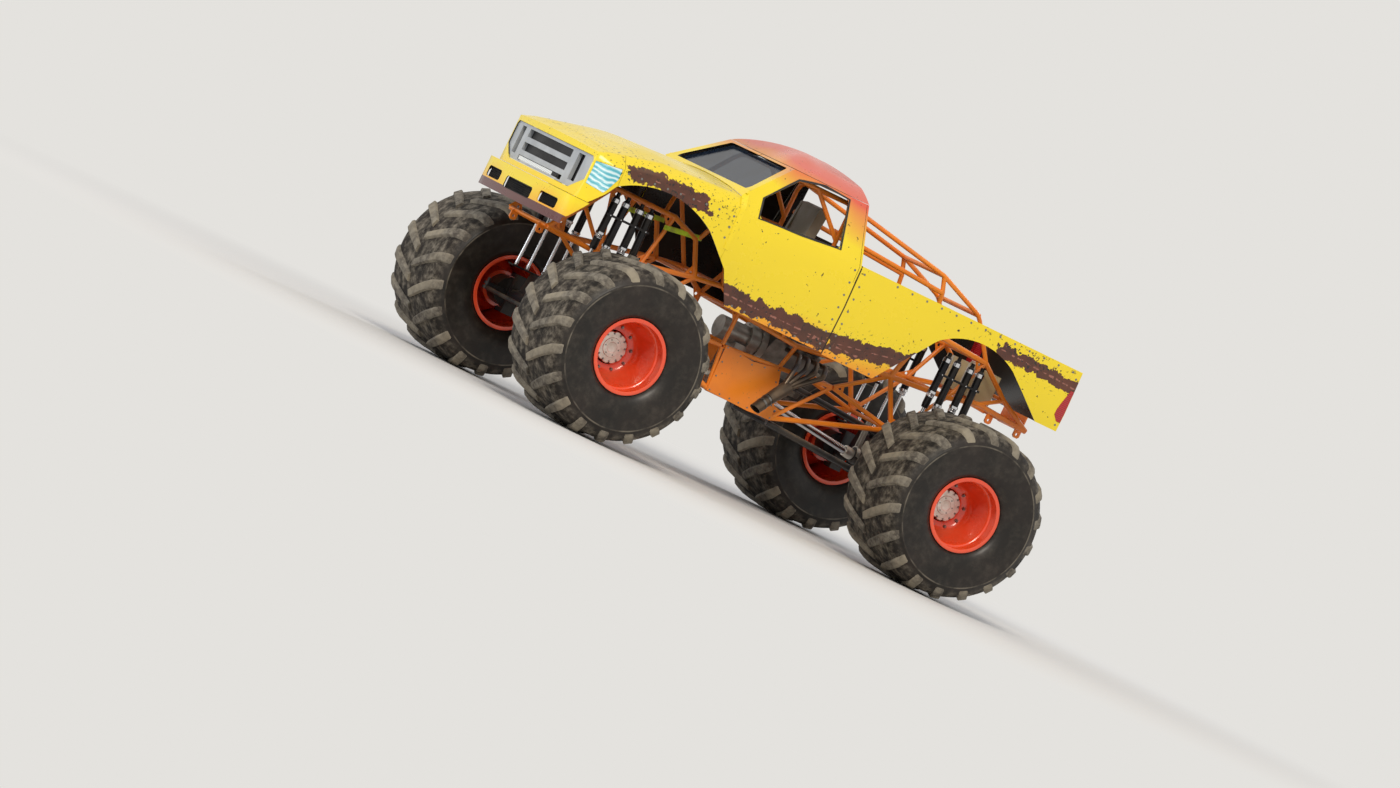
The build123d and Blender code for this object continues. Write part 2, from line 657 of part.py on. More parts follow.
# Engine: V8 block with heads, valve covers, sump, blower and injector hat
engine_x = -350
engine_z = 1440
block_length = 520
with BuildPart() as engine:
    with BuildSketch(Plane.YZ.offset(engine_x - block_length / 2)):
        with BuildLine():
            Polyline((-110, 1290), (110, 1290), (170, 1400), (250, 1520), (150, 1620), (60, 1560), (-60, 1560),
                     (-150, 1620), (-250, 1520), (-170, 1400), close=True)
        make_face()
    extrude(amount=block_length)
    with Locations((engine_x, 0, 1250)):
        Box(460, 200, 90)
    for side in (-1, 1):
        cover_plane = Plane(origin=(engine_x, side * 215, 1590), x_dir=(1, 0, 0), z_dir=(0, side * 0.7, 0.7))
        with BuildSketch(cover_plane.offset(-15)):
            RectangleRounded(block_length - 30, 130, 30)
        extrude(amount=70)
    with Locations((engine_x, 0, 1600)):
        Box(440, 180, 90)
    with BuildSketch(Plane.YZ.offset(engine_x - 230)):
        with BuildLine():
            Polyline((-120, 1640), (120, 1640), (135, 1720), (110, 1800), (-110, 1800), (-135, 1720), close=True)
        make_face()
    extrude(amount=460)
    with Locations((engine_x, 0, 1840)):
        Box(340, 150, 90)
    with BuildSketch(Plane.XZ.offset(-140)):
        with BuildLine():
            Polyline((engine_x - 190, 1880), (engine_x + 200, 1880), (engine_x + 230, 2060), (engine_x - 60, 2070),
                     (engine_x - 190, 1960), close=True)
        make_face()
    extrude(amount=280)
    for z, radius in ((1380, 95), (1720, 60)):
        rod((engine_x - block_length / 2 - 65, 0, z), (engine_x - block_length / 2 + 25, 0, z), 2 * radius,
            drum_sides)
engine.part.label = "engine"
export_step(engine.part, "parts/engine.step")

# Headers: four pipes a side that sweep out, down and forward into a collector
header_pipe = 48
port_pitch = 100
port_middle_x = engine_x - 50
port_z = 1470
collector_start = (-160, 640, 1110)
collector_tip = (80, 790, 850)
with BuildPart() as headers:
    for side in (-1, 1):
        for port in range(4):
            x = port_middle_x + (port - 1.5) * port_pitch
            bent_tube([(x, side * 235, port_z), (x, side * 520, port_z), (x + 30, side * 600, port_z - 90),
                       (collector_start[0] - 40, side * collector_start[1], collector_start[2] + 60)],
                      header_pipe)
        rod((collector_start[0] - 40, side * collector_start[1], collector_start[2] + 45),
            (collector_start[0] + 130, side * (collector_start[1] + 80), collector_start[2] - 130), 130)
        rod((collector_start[0] + 120, side * (collector_start[1] + 75), collector_start[2] - 120),
            (collector_tip[0], side * collector_tip[1], collector_tip[2]), 110)
    add(engine.part, mode=Mode.SUBTRACT)
headers.part.label = "headers"
export_step(headers.part, "parts/headers.step")

# Gearbox ahead of the engine, with the transfer case under it in the belly
case_x = 110
shaft_z = 1000
with BuildPart() as gearbox:
    for start, end, radius in ((-86, -20, 170), (-20, 90, 150), (90, 380, 110)):
        rod((start, 0, 1400), (end, 0, 1400), 2 * radius, drum_sides)
    with BuildSketch(Plane.YZ.offset(case_x - 90)):
        with BuildLine():
            Polyline((-130, 870), (130, 870), (170, 1000), (120, 1330), (-120, 1330), (-170, 1000), close=True)
        make_face()
    extrude(amount=180)
    rod((case_x - 150, 0, shaft_z), (case_x + 150, 0, shaft_z), 140)
gearbox.part.label = "gearbox"
export_step(gearbox.part, "parts/gearbox.step")

# Fuel cell: a box tank between the trusses behind the rear axle
with BuildPart() as fuel_cell:
    with Locations((-2230, 0, nodes["rear_kick"][1] + cross_diameter / 2 + 145)):
        Box(300, 640, 290)
    fillet(fuel_cell.edges().filter_by(Axis.Z), 30)
fuel_cell.part.label = "fuel_cell"
export_step(fuel_cell.part, "parts/fuel_cell.step")

# Axles: a housing with a central gear case, a truss on top, link and shock brackets and a yoke at each end
axle_tube = 130
case_radius = 180
ear_gap = 150
ear_thickness = 40
ear_reach = 60
shock_y = 620
shelf_z = 250
shock_offsets = (-210, -85, 85, 210)
pinion_reach = 330
pinion_z = 20
link_y = 480
upper_link_y = 320
upper_link_z = 285
lower_link_z = -118
barrel_z = 40
barrel_radius = 34
for axle_name, axle_x, facing in (("front", front_axle_x, 1), ("rear", rear_axle_x, -1)):
    with BuildPart() as axle:
        rod((axle_x, ear_reach - kingpin_y, hub_z), (axle_x, kingpin_y - ear_reach, hub_z), axle_tube)
        rod((axle_x, -90, hub_z), (axle_x, 90, hub_z), 2 * case_radius, drum_sides)
        rod((axle_x, 0, hub_z + pinion_z), (axle_x - facing * pinion_reach, 0, hub_z + pinion_z), 150)
        plate(Plane.YZ.offset(axle_x),
              [(-700, hub_z + 40), (-640, hub_z + shelf_z), (640, hub_z + shelf_z), (700, hub_z + 40)], 50)
        for side in (-1, 1):
            with Locations((axle_x, side * shock_y, hub_z + shelf_z + 8)):
                Box(520, 110, 16)
            with Locations((axle_x, side * (kingpin_y - ear_reach - 20), hub_z)):
                Box(120, 40, 2 * (ear_gap + ear_thickness))
            for level in (-1, 1):
                with Locations((axle_x, side * (kingpin_y - 15), hub_z + level * (ear_gap + ear_thickness / 2))):
                    Box(110, 130, ear_thickness)
            with Locations((axle_x, side * kingpin_y, hub_z)):
                Cylinder(pin_radius * 1.8, 3 * ear_gap, mode=Mode.SUBTRACT)
            for ear in (-1, 1):
                with Locations((axle_x, side * link_y + ear * 45, hub_z - 85)):
                    Box(120, 14, 130)
                with Locations((axle_x, side * upper_link_y + ear * 40, hub_z + shelf_z + 25)):
                    Box(110, 14, 90)
    axle.part.label = f"axle_{axle_name}"
    export_step(axle.part, f"parts/axle_{axle_name}.step")
    if facing > 0:
        axle_front = axle
    else:
        axle_rear = axle

# Suspension links: lower and upper bars from the frame's middle to each axle
with BuildPart() as links:
    for axle_x, facing in ((front_axle_x, 1), (rear_axle_x, -1)):
        belly_x = nodes["belly_front"][0] if facing > 0 else nodes["belly_rear"][0]
        for side in (-1, 1):
            rod((belly_x + facing * 20, side * 370, 790), (axle_x, side * link_y, hub_z + lower_link_z), 58)
            rod((belly_x + facing * 160, side * 370, 1190), (axle_x, side * upper_link_y, hub_z + upper_link_z), 50)
links.part.label = "suspension_links"
export_step(links.part, "parts/suspension_links.step")

# Shock absorbers: four at each wheel, a black body over a bright rod with an eye at both ends
shock_top_z = 2100
shock_body = 72
shock_rod = 36
with BuildPart() as shocks:
    for axle_x in (front_axle_x, rear_axle_x):
        for side in (-1, 1):
            for x in shock_offsets:
                low = Vector(axle_x + x, side * shock_y, hub_z + shelf_z + 18)
                high = Vector(axle_x + x * 0.9, side * (shock_y - 20), shock_top_z)
                middle = low + (high - low) * 0.45
                rod(low, middle, shock_rod)
                rod(middle, high, shock_body)
shocks.part.label = "shocks"
export_step(shocks.part, "parts/shocks.step")

# Driveshafts from the transfer case to the axle pinions
with BuildPart() as driveshafts:
    for start_x, axle_x, facing in ((case_x + 150, front_axle_x, 1), (case_x - 150, rear_axle_x, -1)):
        rod((start_x, 0, shaft_z), (axle_x - facing * pinion_reach, 0, hub_z + pinion_z), 76)
    add(gearbox.part, mode=Mode.SUBTRACT)
    add(axle_front.part, mode=Mode.SUBTRACT)
    add(axle_rear.part, mode=Mode.SUBTRACT)
driveshafts.part.label = "driveshafts"
export_step(driveshafts.part, "parts/driveshafts.step")

# Steering cylinder barrels, clamped to the axle beside the gear case
ram_x = 248
barrel_start_y = 190
barrel_length = 330
with BuildPart() as barrels:
    for axle_x, facing in ((front_axle_x, 1), (rear_axle_x, -1)):
        x = axle_x + facing * ram_x
        rod((x, barrel_start_y, hub_z + barrel_z), (x, barrel_start_y + barrel_length, hub_z + barrel_z),
            2 * barrel_radius)
        with Locations((x - facing * 120, barrel_start_y + 30, hub_z + barrel_z)):
            Box(200, 40, 60)
    with BuildSketch(Plane.XZ):
        with Locations((front_axle_x + ram_x, hub_z + barrel_z), (rear_axle_x - ram_x, hub_z + barrel_z)):
            Circle(18 + joint_clearance)
    extrude(amount=-2000, mode=Mode.SUBTRACT)
    add(axle_front.part, mode=Mode.SUBTRACT)
    add(axle_rear.part, mode=Mode.SUBTRACT)
barrels.part.label = "steering_barrels"
export_step(barrels.part, "parts/steering_barrels.step")

# Steering cylinder rods, each ending in an eye over the left steering arm's pin
eye_radius = 32
eye_thickness = 30
ram_eye_radius = 44
ram_eye_play = 14
for axle_name, axle_x, facing in (("front", front_axle_x, 1), ("rear", rear_axle_x, -1)):
    x = axle_x + facing * ram_x
    with BuildPart() as ram_rod:
        shaft((x, barrel_start_y + 60, hub_z + barrel_z), (x, kingpin_y, hub_z + barrel_z),
              36 - 2 * joint_clearance)
        low = hub_z + barrel_z - eye_thickness / 2
        rod((x, kingpin_y, low), (x, kingpin_y, low + eye_thickness), 2 * ram_eye_radius, drum_sides)
        with Locations((x, kingpin_y, hub_z + barrel_z)):
            Cylinder(pin_radius + ram_eye_play, 2 * eye_thickness, mode=Mode.SUBTRACT)
    ram_rod.part.label = f"ram_rod_{axle_name}"
    export_step(ram_rod.part, f"parts/ram_rod_{axle_name}.step")

# Tie rods under the steering arms
for axle_name, axle_x, facing in (("front", front_axle_x, 1), ("rear", rear_axle_x, -1)):
    pin_x = axle_x + facing * steering_arm
    with BuildPart() as tie_rod:
        rod((pin_x, -kingpin_y, hub_z - barrel_z), (pin_x, kingpin_y, hub_z - barrel_z), 38)
        for side in (-1, 1):
            low = hub_z - barrel_z - eye_thickness / 2
            rod((pin_x, side * kingpin_y, low), (pin_x, side * kingpin_y, low + eye_thickness), 2 * eye_radius,
                drum_sides)
            with Locations((pin_x, side * kingpin_y, hub_z - barrel_z)):
                Cylinder(pin_radius + joint_clearance, 4 * eye_thickness, mode=Mode.SUBTRACT)
    tie_rod.part.label = f"tie_rod_{axle_name}"
    export_step(tie_rod.part, f"parts/tie_rod_{axle_name}.step")

# Knuckles: kingpin boss, planetary gear drum with the wheel's spindle, and steering arm
drum_radius = 140
drum_start_y = 45
drum_end_y = wheel_y - hub_depth - running_gap
for axle_name, axle_x, facing in (("front", front_axle_x, 1), ("rear", rear_axle_x, -1)):
    for side_name, side in (("left", 1), ("right", -1)):
        with BuildPart() as knuckle:
            with Locations((axle_x, side * kingpin_y, hub_z)):
                Box(80, 80, 2 * ear_gap - 10)
                Cylinder(pin_radius * 1.8 - joint_clearance, 2 * (ear_gap + ear_thickness))
            rod((axle_x, side * (kingpin_y + drum_start_y), hub_z), (axle_x, side * drum_end_y, hub_z),
                2 * drum_radius, drum_sides)
            shaft((axle_x, side * (drum_end_y - 10), hub_z), (axle_x, side * (drum_end_y + spindle_reach), hub_z),
                  spindle_diameter - 2 * joint_clearance)
            with Locations((axle_x, side * (kingpin_y + 20), hub_z)):
                Box(90, 60, 2 * ear_gap - 60)
            with Locations((axle_x + facing * steering_arm / 2, side * kingpin_y, hub_z)):
                Box(steering_arm, 50, eye_thickness)
            pin_x = axle_x + facing * steering_arm
            rod((pin_x, side * kingpin_y, hub_z - eye_thickness / 2),
                (pin_x, side * kingpin_y, hub_z + eye_thickness / 2), 2 * eye_radius, drum_sides)
            with Locations((pin_x, side * kingpin_y, hub_z)):
                Cylinder(pin_radius, 2 * barrel_z + eye_thickness)
        knuckle.part.label = f"knuckle_{axle_name}_{side_name}"
        export_step(knuckle.part, f"parts/knuckle_{axle_name}_{side_name}.step")

# Wheels: a deep dished rim with its planetary hub, and a wide tyre with angled lugs, each built round with flats
tyre_half = tyre_width / 2
rim_half = rim_width / 2
rim_radius = rim_diameter / 2
seat_radius = bead_diameter / 2
barrel_bore = seat_radius - rim_wall
hub_radius = hub_diameter / 2
carcass_radius = hub_z - lug_height
bead_y = rim_half - 20
shoulder_y = tyre_half - 90
shoulder_radius = carcass_radius - 22
lug_flats = 2 * lugs_per_side


def wedge(flats, radius, half_width):
    """Keeps one flat's share of the turn about the wheel's axis."""
    spread = radius * math.tan(math.pi / flats)
    with BuildSketch(Plane.XZ) as share:
        with BuildLine():
            Polyline((0, 0), (spread, radius), (-spread, radius), close=True)
        make_face()
    extrude(share.sketch, amount=half_width, both=True, mode=Mode.INTERSECT)


# One flat of the rim, from its outer lip round the back to the hub and out again over the dish
rim_outline = [(rim_half, barrel_bore), (rim_half, rim_radius), (bead_y, seat_radius), (-bead_y, seat_radius),
               (-rim_half, rim_radius), (-rim_half, barrel_bore), (220, barrel_bore), (50, 258),
               (-12, hub_radius), (-hub_depth, hub_radius), (-hub_depth, 0), (62, 0), (62, 150),
               (16, hub_radius), (80, 245), (250, 292), (335, 300), (352, barrel_bore)]
with BuildPart() as rim_flat:
    with BuildSketch(Plane.YZ):
        with BuildLine():
            Polyline(*[(y, radius * math.cos(math.pi / rim_flats)) for y, radius in rim_outline], close=True)
        make_face()
    extrude(amount=60, both=True)
    wedge(rim_flats, 500, rim_width)

with BuildPart() as rim_ring:
    add([Rot(0, 360 / rim_flats * number, 0) * rim_flat.part for number in range(rim_flats)])
    with BuildSketch(Plane.XZ.offset(hub_depth), mode=Mode.PRIVATE) as bearing_bore:
        Circle(spindle_diameter / 2)
    extrude(bearing_bore.sketch, amount=-spindle_reach - 2 * running_gap, mode=Mode.SUBTRACT)

# One flat of the tyre's carcass, with its bead, side wall and crown
outer = [(bead_y - 2, seat_radius), (tyre_half, 585), (shoulder_y, shoulder_radius)]
inner = [(bead_y - tyre_wall, seat_radius), (shoulder_y - 10, shoulder_radius - tyre_wall)]
with BuildPart() as tyre_flat:
    with BuildSketch(Plane.YZ):
        with BuildLine():
            Polyline(*[(-y, r) for y, r in outer], (0, carcass_radius), *outer[::-1], *inner,
                     *[(-y, r) for y, r in inner[::-1]], close=True)
        make_face()
    extrude(amount=150, both=True)
    wedge(lug_flats, 1000, tyre_width)

# Lugs: each flat bears one, from beside the middle over the shoulder, on the left and the right in turn
flat_half = carcass_radius * math.tan(math.pi / lug_flats)
slant = flat_half - lug_width / 2 - 4
lug_inner_y = 16
lug_outer_y = tyre_half - 32
lugs = []
for side in (1, -1):
    with BuildPart() as lug:
        with BuildSketch(Plane.XY.offset(shoulder_radius - 90)):
            with BuildLine():
                half = lug_width / 2
                Polyline((-slant - half, side * lug_inner_y), (-slant + half, side * lug_inner_y),
                         (slant + half, side * lug_outer_y), (slant - half, side * lug_outer_y), close=True)
            make_face()
        extrude(amount=hub_z - shoulder_radius + 90)
        with BuildSketch(Plane.YZ, mode=Mode.PRIVATE) as crest:
            with BuildLine():
                Polyline((0, hub_z), (side * (shoulder_y - 30), hub_z), (side * (tyre_half - 30), hub_z - 90),
                         (side * (shoulder_y + 15), 690), (side * (shoulder_y - 8), shoulder_radius - 2),
                         (0, carcass_radius - 2), close=True)
            make_face()
        extrude(crest.sketch, amount=200, both=True, mode=Mode.INTERSECT)
    lugs.append(lug.part)

with BuildPart() as tread_ring:
    for number in range(lug_flats):
        turn = Rot(0, 360 / lug_flats * number, 0)
        add([turn * tyre_flat.part, turn * lugs[number % 2]])

for axle_name, axle_x in (("front", front_axle_x), ("rear", rear_axle_x)):
    for side_name, side in (("left", 1), ("right", -1)):
        with BuildPart() as rim:
            add(Pos(axle_x, side * wheel_y, hub_z) * Rot(0, 0, 90 - 90 * side) * rim_ring.part)
        rim.part.label = f"rim_{axle_name}_{side_name}"
        export_step(rim.part, f"parts/rim_{axle_name}_{side_name}.step")

        with BuildPart() as tyre:
            add(Pos(axle_x, side * wheel_y, hub_z) * tread_ring.part)
        tyre.part.label = f"tyre_{axle_name}_{side_name}"
        export_step(tyre.part, f"parts/tyre_{axle_name}_{side_name}.step")
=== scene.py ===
import bmesh
import bpy
import math
import random
from mathutils import Matrix, Vector
from mathutils.bvhtree import BVHTree


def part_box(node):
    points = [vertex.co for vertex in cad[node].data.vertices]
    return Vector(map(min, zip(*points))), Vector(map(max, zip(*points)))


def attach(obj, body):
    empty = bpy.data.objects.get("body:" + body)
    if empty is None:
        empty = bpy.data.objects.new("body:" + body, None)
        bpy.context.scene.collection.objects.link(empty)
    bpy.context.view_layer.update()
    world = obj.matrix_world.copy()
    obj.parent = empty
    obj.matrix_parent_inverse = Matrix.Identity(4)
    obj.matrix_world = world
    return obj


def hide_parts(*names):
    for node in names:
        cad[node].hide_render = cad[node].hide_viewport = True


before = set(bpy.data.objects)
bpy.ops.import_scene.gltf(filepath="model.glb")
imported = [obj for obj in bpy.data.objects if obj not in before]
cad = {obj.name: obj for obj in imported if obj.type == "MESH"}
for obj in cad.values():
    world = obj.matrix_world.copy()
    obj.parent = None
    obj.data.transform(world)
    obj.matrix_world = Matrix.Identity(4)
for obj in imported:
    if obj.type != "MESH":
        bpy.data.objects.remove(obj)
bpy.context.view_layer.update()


# Studio: a pale floor that fades into an equally pale backdrop, one broad key lamp and two fills,
# all large and far off, so that shadows are soft. The camera stands where the picture was taken from.
def linear(code):
    """The linear colour of an sRGB hex value."""
    parts = [int(code[i:i + 2], 16) / 255 for i in (1, 3, 5)]
    return (*[c / 12.92 if c <= 0.04045 else ((c + 0.055) / 1.055) ** 2.4 for c in parts], 1.0)


def add_node(tree, kind, inputs=None, to=None, **settings):
    """Adds one node with its settings and links. The kind of a shader node is given without ShaderNode in
    front, and a Mix node mixes colours. An input is a value, a colour code, a node or a (node, output) pair,
    and to is the (node, socket) that the new node feeds. A node stands for its first output in use."""
    node = tree.nodes.new(kind if "Node" in kind else "ShaderNode" + kind)
    if kind == "Mix":
        node.data_type = "RGBA"
    for name, value in settings.items():
        setattr(node, name, value)
    for name, value in (inputs or {}).items():
        named = [s for s in node.inputs if s.name == name and s.enabled]
        socket = node.inputs[name] if isinstance(name, int) else named[0]
        if isinstance(value, bpy.types.Node):
            tree.links.new(next(s for s in value.outputs if s.enabled), socket)
        elif isinstance(value, tuple) and isinstance(value[0], bpy.types.Node):
            tree.links.new(value[0].outputs[value[1]], socket)
        else:
            coded = isinstance(value, str) and value.startswith("#")
            socket.default_value = linear(value) if coded else value
    if to:
        tree.links.new(next(s for s in node.outputs if s.enabled), to[0].inputs[to[1]])
    return node


pale = "#E4E2DE"
floor_pale = "#E0DEDA"
backdrop_near = 4.2
backdrop_far = 9.0
floor_mesh = bpy.data.meshes.new("studio_floor")
bm = bmesh.new()
bmesh.ops.create_circle(bm, cap_ends=True, segments=96, radius=400)
bm.to_mesh(floor_mesh)
bm.free()
floor = bpy.data.objects.new("studio_floor", floor_mesh)
bpy.context.scene.collection.objects.link(floor)
floor_paint = bpy.data.materials.new("studio_floor_paint")
floor_paint.use_nodes = True
tree = floor_paint.node_tree
tree.nodes.clear()
place = add_node(tree, "TexCoord")
reach = add_node(tree, "VectorMath", {0: (place, "Object")}, operation="LENGTH")
fade = add_node(tree, "MapRange", {"Value": (reach, "Value"), "From Min": backdrop_near,
                                   "From Max": backdrop_far}, interpolation_type="SMOOTHSTEP")
near_floor = add_node(tree, "BsdfDiffuse", {"Color": floor_pale})
far_floor = add_node(tree, "Emission", {"Color": pale, "Strength": 1.0})
blend = add_node(tree, "MixShader", {0: fade, 1: near_floor, 2: far_floor})
add_node(tree, "OutputMaterial", {"Surface": blend})
floor_mesh.materials.append(floor_paint)

world = bpy.data.worlds.new("studio")
bpy.context.scene.world = world
world.use_nodes = True
tree = world.node_tree
tree.nodes.clear()
path = add_node(tree, "LightPath")
seen = add_node(tree, "Math", {0: (path, "Is Camera Ray"), 1: (path, "Is Transmission Ray")},
                operation="MAXIMUM")
seen = add_node(tree, "Math", {0: seen, 1: (path, "Is Glossy Ray")}, operation="MAXIMUM")
room = add_node(tree, "Background", {"Color": "#F4F6FA", "Strength": 0.6})
wall = add_node(tree, "Background", {"Color": pale, "Strength": 1.0})
both = add_node(tree, "MixShader", {0: seen, 1: room, 2: wall})
add_node(tree, "OutputWorld", {"Surface": both})

# Columns: name, position, size in metres, watts, colour
lamps = [
    ("key", (16.0, 27.0, 25.0), 12.0, 8200, "#FFF6EA"),
    ("front_fill", (17.0, -4.0, 6.0), 7.0, 600, "#F2F6FF"),
    ("rear_fill", (-14.0, -8.0, 9.0), 8.0, 700, "#F2F6FF"),
]
for name, spot, size, watts, colour in lamps:
    light = bpy.data.lights.new(name, "AREA")
    light.energy = watts
    light.size = size
    light.color = linear(colour)[:3]
    lamp = bpy.data.objects.new(name, light)
    lamp.location = spot
    lamp.rotation_euler = (Vector((0, 0, 1.3)) - Vector(spot)).to_track_quat("-Z", "Y").to_euler()
    bpy.context.scene.collection.objects.link(lamp)

# The truck stood nose-up there and stands level here, so the camera, fitted to the four wheels, is rolled
camera_data = bpy.data.cameras.new("camera")
camera_data.sensor_width = 36
camera_data.lens = 241.9
camera_data.clip_end = 1000
camera = bpy.data.objects.new("camera", camera_data)
camera.location = (40.547, 76.385, 2.367)
camera.rotation_euler = [math.radians(angle) for angle in (88.812, -25.874, 152.698)]
bpy.context.scene.collection.objects.link(camera)
bpy.context.scene.camera = camera
bpy.context.scene.view_settings.view_transform = "Standard"


# Frame and roll cage: thin-wall steel tube, mitred, welded and powder-coated orange. Powder coat has a soft
# gloss with orange peel. Mud dust lies on what faces up and chips show the brown-grey primer.
def new_finish(name, **sockets):
    """A material with one Principled shader, whose sockets are given in words with underscores."""
    finish = bpy.data.materials.new(name)
    finish.use_nodes = True
    tree = finish.node_tree
    tree.nodes.clear()
    named = {key.replace("_", " "): value for key, value in sockets.items()}
    shader = add_node(tree, "BsdfPrincipled", named)
    add_node(tree, "OutputMaterial", {"Surface": shader})
    return finish, tree, shader


def patches(tree, size, low=0.35, high=0.65, detail=4.0, rough=0.55, to_low=0.0, to_high=1.0):
    """Cloudy patches as wide as the size in metres, from to_low to to_high between two levels."""
    place = add_node(tree, "TexCoord")
    cloud = add_node(tree, "TexNoise", {"Vector": (place, "Object"), "Scale": 0.5 / size, "Detail": detail,
                                        "Roughness": rough})
    return add_node(tree, "MapRange", {"Value": (cloud, "Fac"), "From Min": low, "From Max": high,
                                       "To Min": to_low, "To Max": to_high})


def grained(tree, shader, size, depth, strength=1.0):
    """Raises the surface in grains of the size, as deep as given, both in metres."""
    height = patches(tree, size, 0.0, 1.0)
    add_node(tree, "Bump", {"Height": height, "Distance": depth, "Strength": strength},
             to=(shader, "Normal"))


def dusted(tree, shader, colour, dust, size, most, rough_low, rough_high):
    """Puts the colour on the shader under dry dust, which is thicker on top and roughens what it covers."""
    cloud = patches(tree, size, 0.42, 0.68, 6.0, 0.65)
    face = add_node(tree, "NewGeometry")
    lean = add_node(tree, "SeparateXYZ", {0: (face, "Normal")})
    lying = add_node(tree, "MapRange", {"Value": (lean, "Z"), "From Min": 0.2, "From Max": 0.95,
                                        "To Min": 0.25})
    settled = add_node(tree, "Math", {0: cloud, 1: lying}, operation="MULTIPLY")
    amount = add_node(tree, "Math", {0: settled, 1: most}, operation="MULTIPLY", use_clamp=True)
    add_node(tree, "Mix", {"Factor": amount, "A": colour, "B": dust}, (shader, "Base Color"))
    add_node(tree, "MapRange", {"Value": settled, "To Min": rough_low, "To Max": rough_high},
             (shader, "Roughness"))


def coated(name, cloud, tones, dust, rough, grain=None, **sockets):
    """A finish of two tones in patches, with dry dust over it and a raised grain. It takes the patches'
    settings, the dust's colour, patch size and most cover, the roughness when clean and dusty, and the
    grain's size and depth."""
    finish, tree, shader = new_finish(name, **sockets)
    tone = add_node(tree, "Mix", {"Factor": patches(tree, *cloud), "A": tones[0], "B": tones[1]})
    dusted(tree, shader, tone, *dust, *rough)
    if grain:
        grained(tree, shader, *grain)
    return finish


powder_coat, tree, shader = new_finish("powder_coated_steel_orange", IOR=1.5)
tone = add_node(tree, "Mix", {"Factor": patches(tree, 0.35), "A": "#F88C22", "B": "#F07A14"})
chips = patches(tree, 0.012, 0.66, 0.69, 5.0, 0.7)
chipped = add_node(tree, "Mix", {"Factor": chips, "A": tone, "B": "#5A4C42"})
dusted(tree, shader, chipped, "#A08660", 0.18, 0.45, 0.32, 0.75)
grained(tree, shader, 0.003, 0.0004)

# Drawn tube is round, so its flats are shaded as one surface, and an edge over this angle stays sharp
sharp_angle = math.radians(50)
round_group = bpy.data.node_groups.new("drawn_tube_shading", "GeometryNodeTree")
round_group.interface.new_socket("Geometry", in_out="INPUT", socket_type="NodeSocketGeometry")
round_group.interface.new_socket("Geometry", in_out="OUTPUT", socket_type="NodeSocketGeometry")
solid = add_node(round_group, "NodeGroupInput")
bare = add_node(round_group, "GeometryNodeRemoveAttribute",
                {"Geometry": (solid, 0), "Name": "custom_normal"})
welded = add_node(round_group, "GeometryNodeMergeByDistance", {"Geometry": bare, "Distance": 0.00002})
smooth = add_node(round_group, "GeometryNodeSetShadeSmooth", {"Geometry": welded, "Shade Smooth": True})
bend = add_node(round_group, "GeometryNodeInputMeshEdgeAngle")
sharp = add_node(round_group, "Math", {0: (bend, 0), 1: sharp_angle}, operation="GREATER_THAN")
ridged = add_node(round_group, "GeometryNodeSetShadeSmooth",
                  {"Geometry": smooth, "Selection": sharp, "Shade Smooth": False}, domain="EDGE")
add_node(round_group, "NodeGroupOutput", {0: ridged})


def paint(finish, *names):
    """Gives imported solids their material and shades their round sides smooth."""
    for name in names:
        cad[name].data.materials.clear()
        cad[name].data.materials.append(finish)
        rounding = cad[name].modifiers.new("drawn_tube_shading", "NODES")
        rounding.node_group = round_group


def finish_mesh(name, bm, finish, angle=35):
    """Closes a bmesh into a mesh with one material, smooth up to the angle."""
    bmesh.ops.recalc_face_normals(bm, faces=bm.faces)
    for face in bm.faces:
        face.smooth = True
    mesh = bpy.data.meshes.new(name)
    bm.to_mesh(mesh)
    bm.free()
    mesh.set_sharp_from_angle(angle=math.radians(angle))
    mesh.materials.append(finish)
    return mesh


def add_piece(name, mesh, body="chassis", location=(0, 0, 0), turn=0.0, stands_for=()):
    """Puts a mesh in the scene, turned about Z, riding on its body."""
    piece = bpy.data.objects.new(name, mesh)
    piece.location = location
    piece.rotation_euler = (0, 0, turn)
    bpy.context.scene.collection.objects.link(piece)
    bpy.context.view_layer.update()
    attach(piece, body)
    if stands_for:
        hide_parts(*stands_for)
    return piece


def add_shape(name, bm, finish, stands_for=()):
    """Makes a bmesh into a piece of the chassis."""
    return add_piece(name, finish_mesh(name, bm, finish), stands_for=stands_for)


paint(powder_coat, "frame_left", "frame_right", "frame_cross", "roll_cage", "belly_panels")


# Gussets: laser-cut steel triangles with a lightening hole, welded into the corners of the side trusses and
# powder-coated with the frame.
def skin(bm, rows, ring=False):
    """Joins rows of corners, each a section of one bar, and closes the bar's ends unless it is a ring."""
    rows = [[bm.verts.new(corner) for corner in row] for row in rows]
    for here, after in zip(rows, rows[1:] + rows[:1] if ring else rows[1:]):
        for a, corner in enumerate(here):
            b = (a + 1) % len(here)
            bm.faces.new((corner, here[b], after[b], after[a]))
    if not ring:
        bm.faces.new(rows[0])
        bm.faces.new(rows[-1][::-1])


def holed_plate(bm, corners, rise, radius, steps=30):
    """A flat plate, as thick as the rise, with a round hole at its middle."""
    middle = sum(corners, Vector()) / len(corners)
    across = (corners[1] - corners[0]).normalized()
    upright = rise.normalized().cross(across)
    rows = []
    for step in range(steps):
        turn = 2 * math.pi * step / steps
        ray = across * math.cos(turn) + upright * math.sin(turn)
        hits = []
        for corner, after in zip(corners, corners[1:] + corners[:1]):
            outward = rise.cross(after - corner)
            if abs(outward.dot(ray)) > 1e-9:
                hits.append(outward.dot(corner - middle) / outward.dot(ray))
        far, near = middle + ray * min(hit for hit in hits if hit > 0), middle + ray * radius
        rows.append([far, near, near + rise, far + rise])
    skin(bm, rows, ring=True)


truss_y = 0.43
gusset_reach = 0.13
gusset_thickness = 0.006
gusset_hole = 0.014
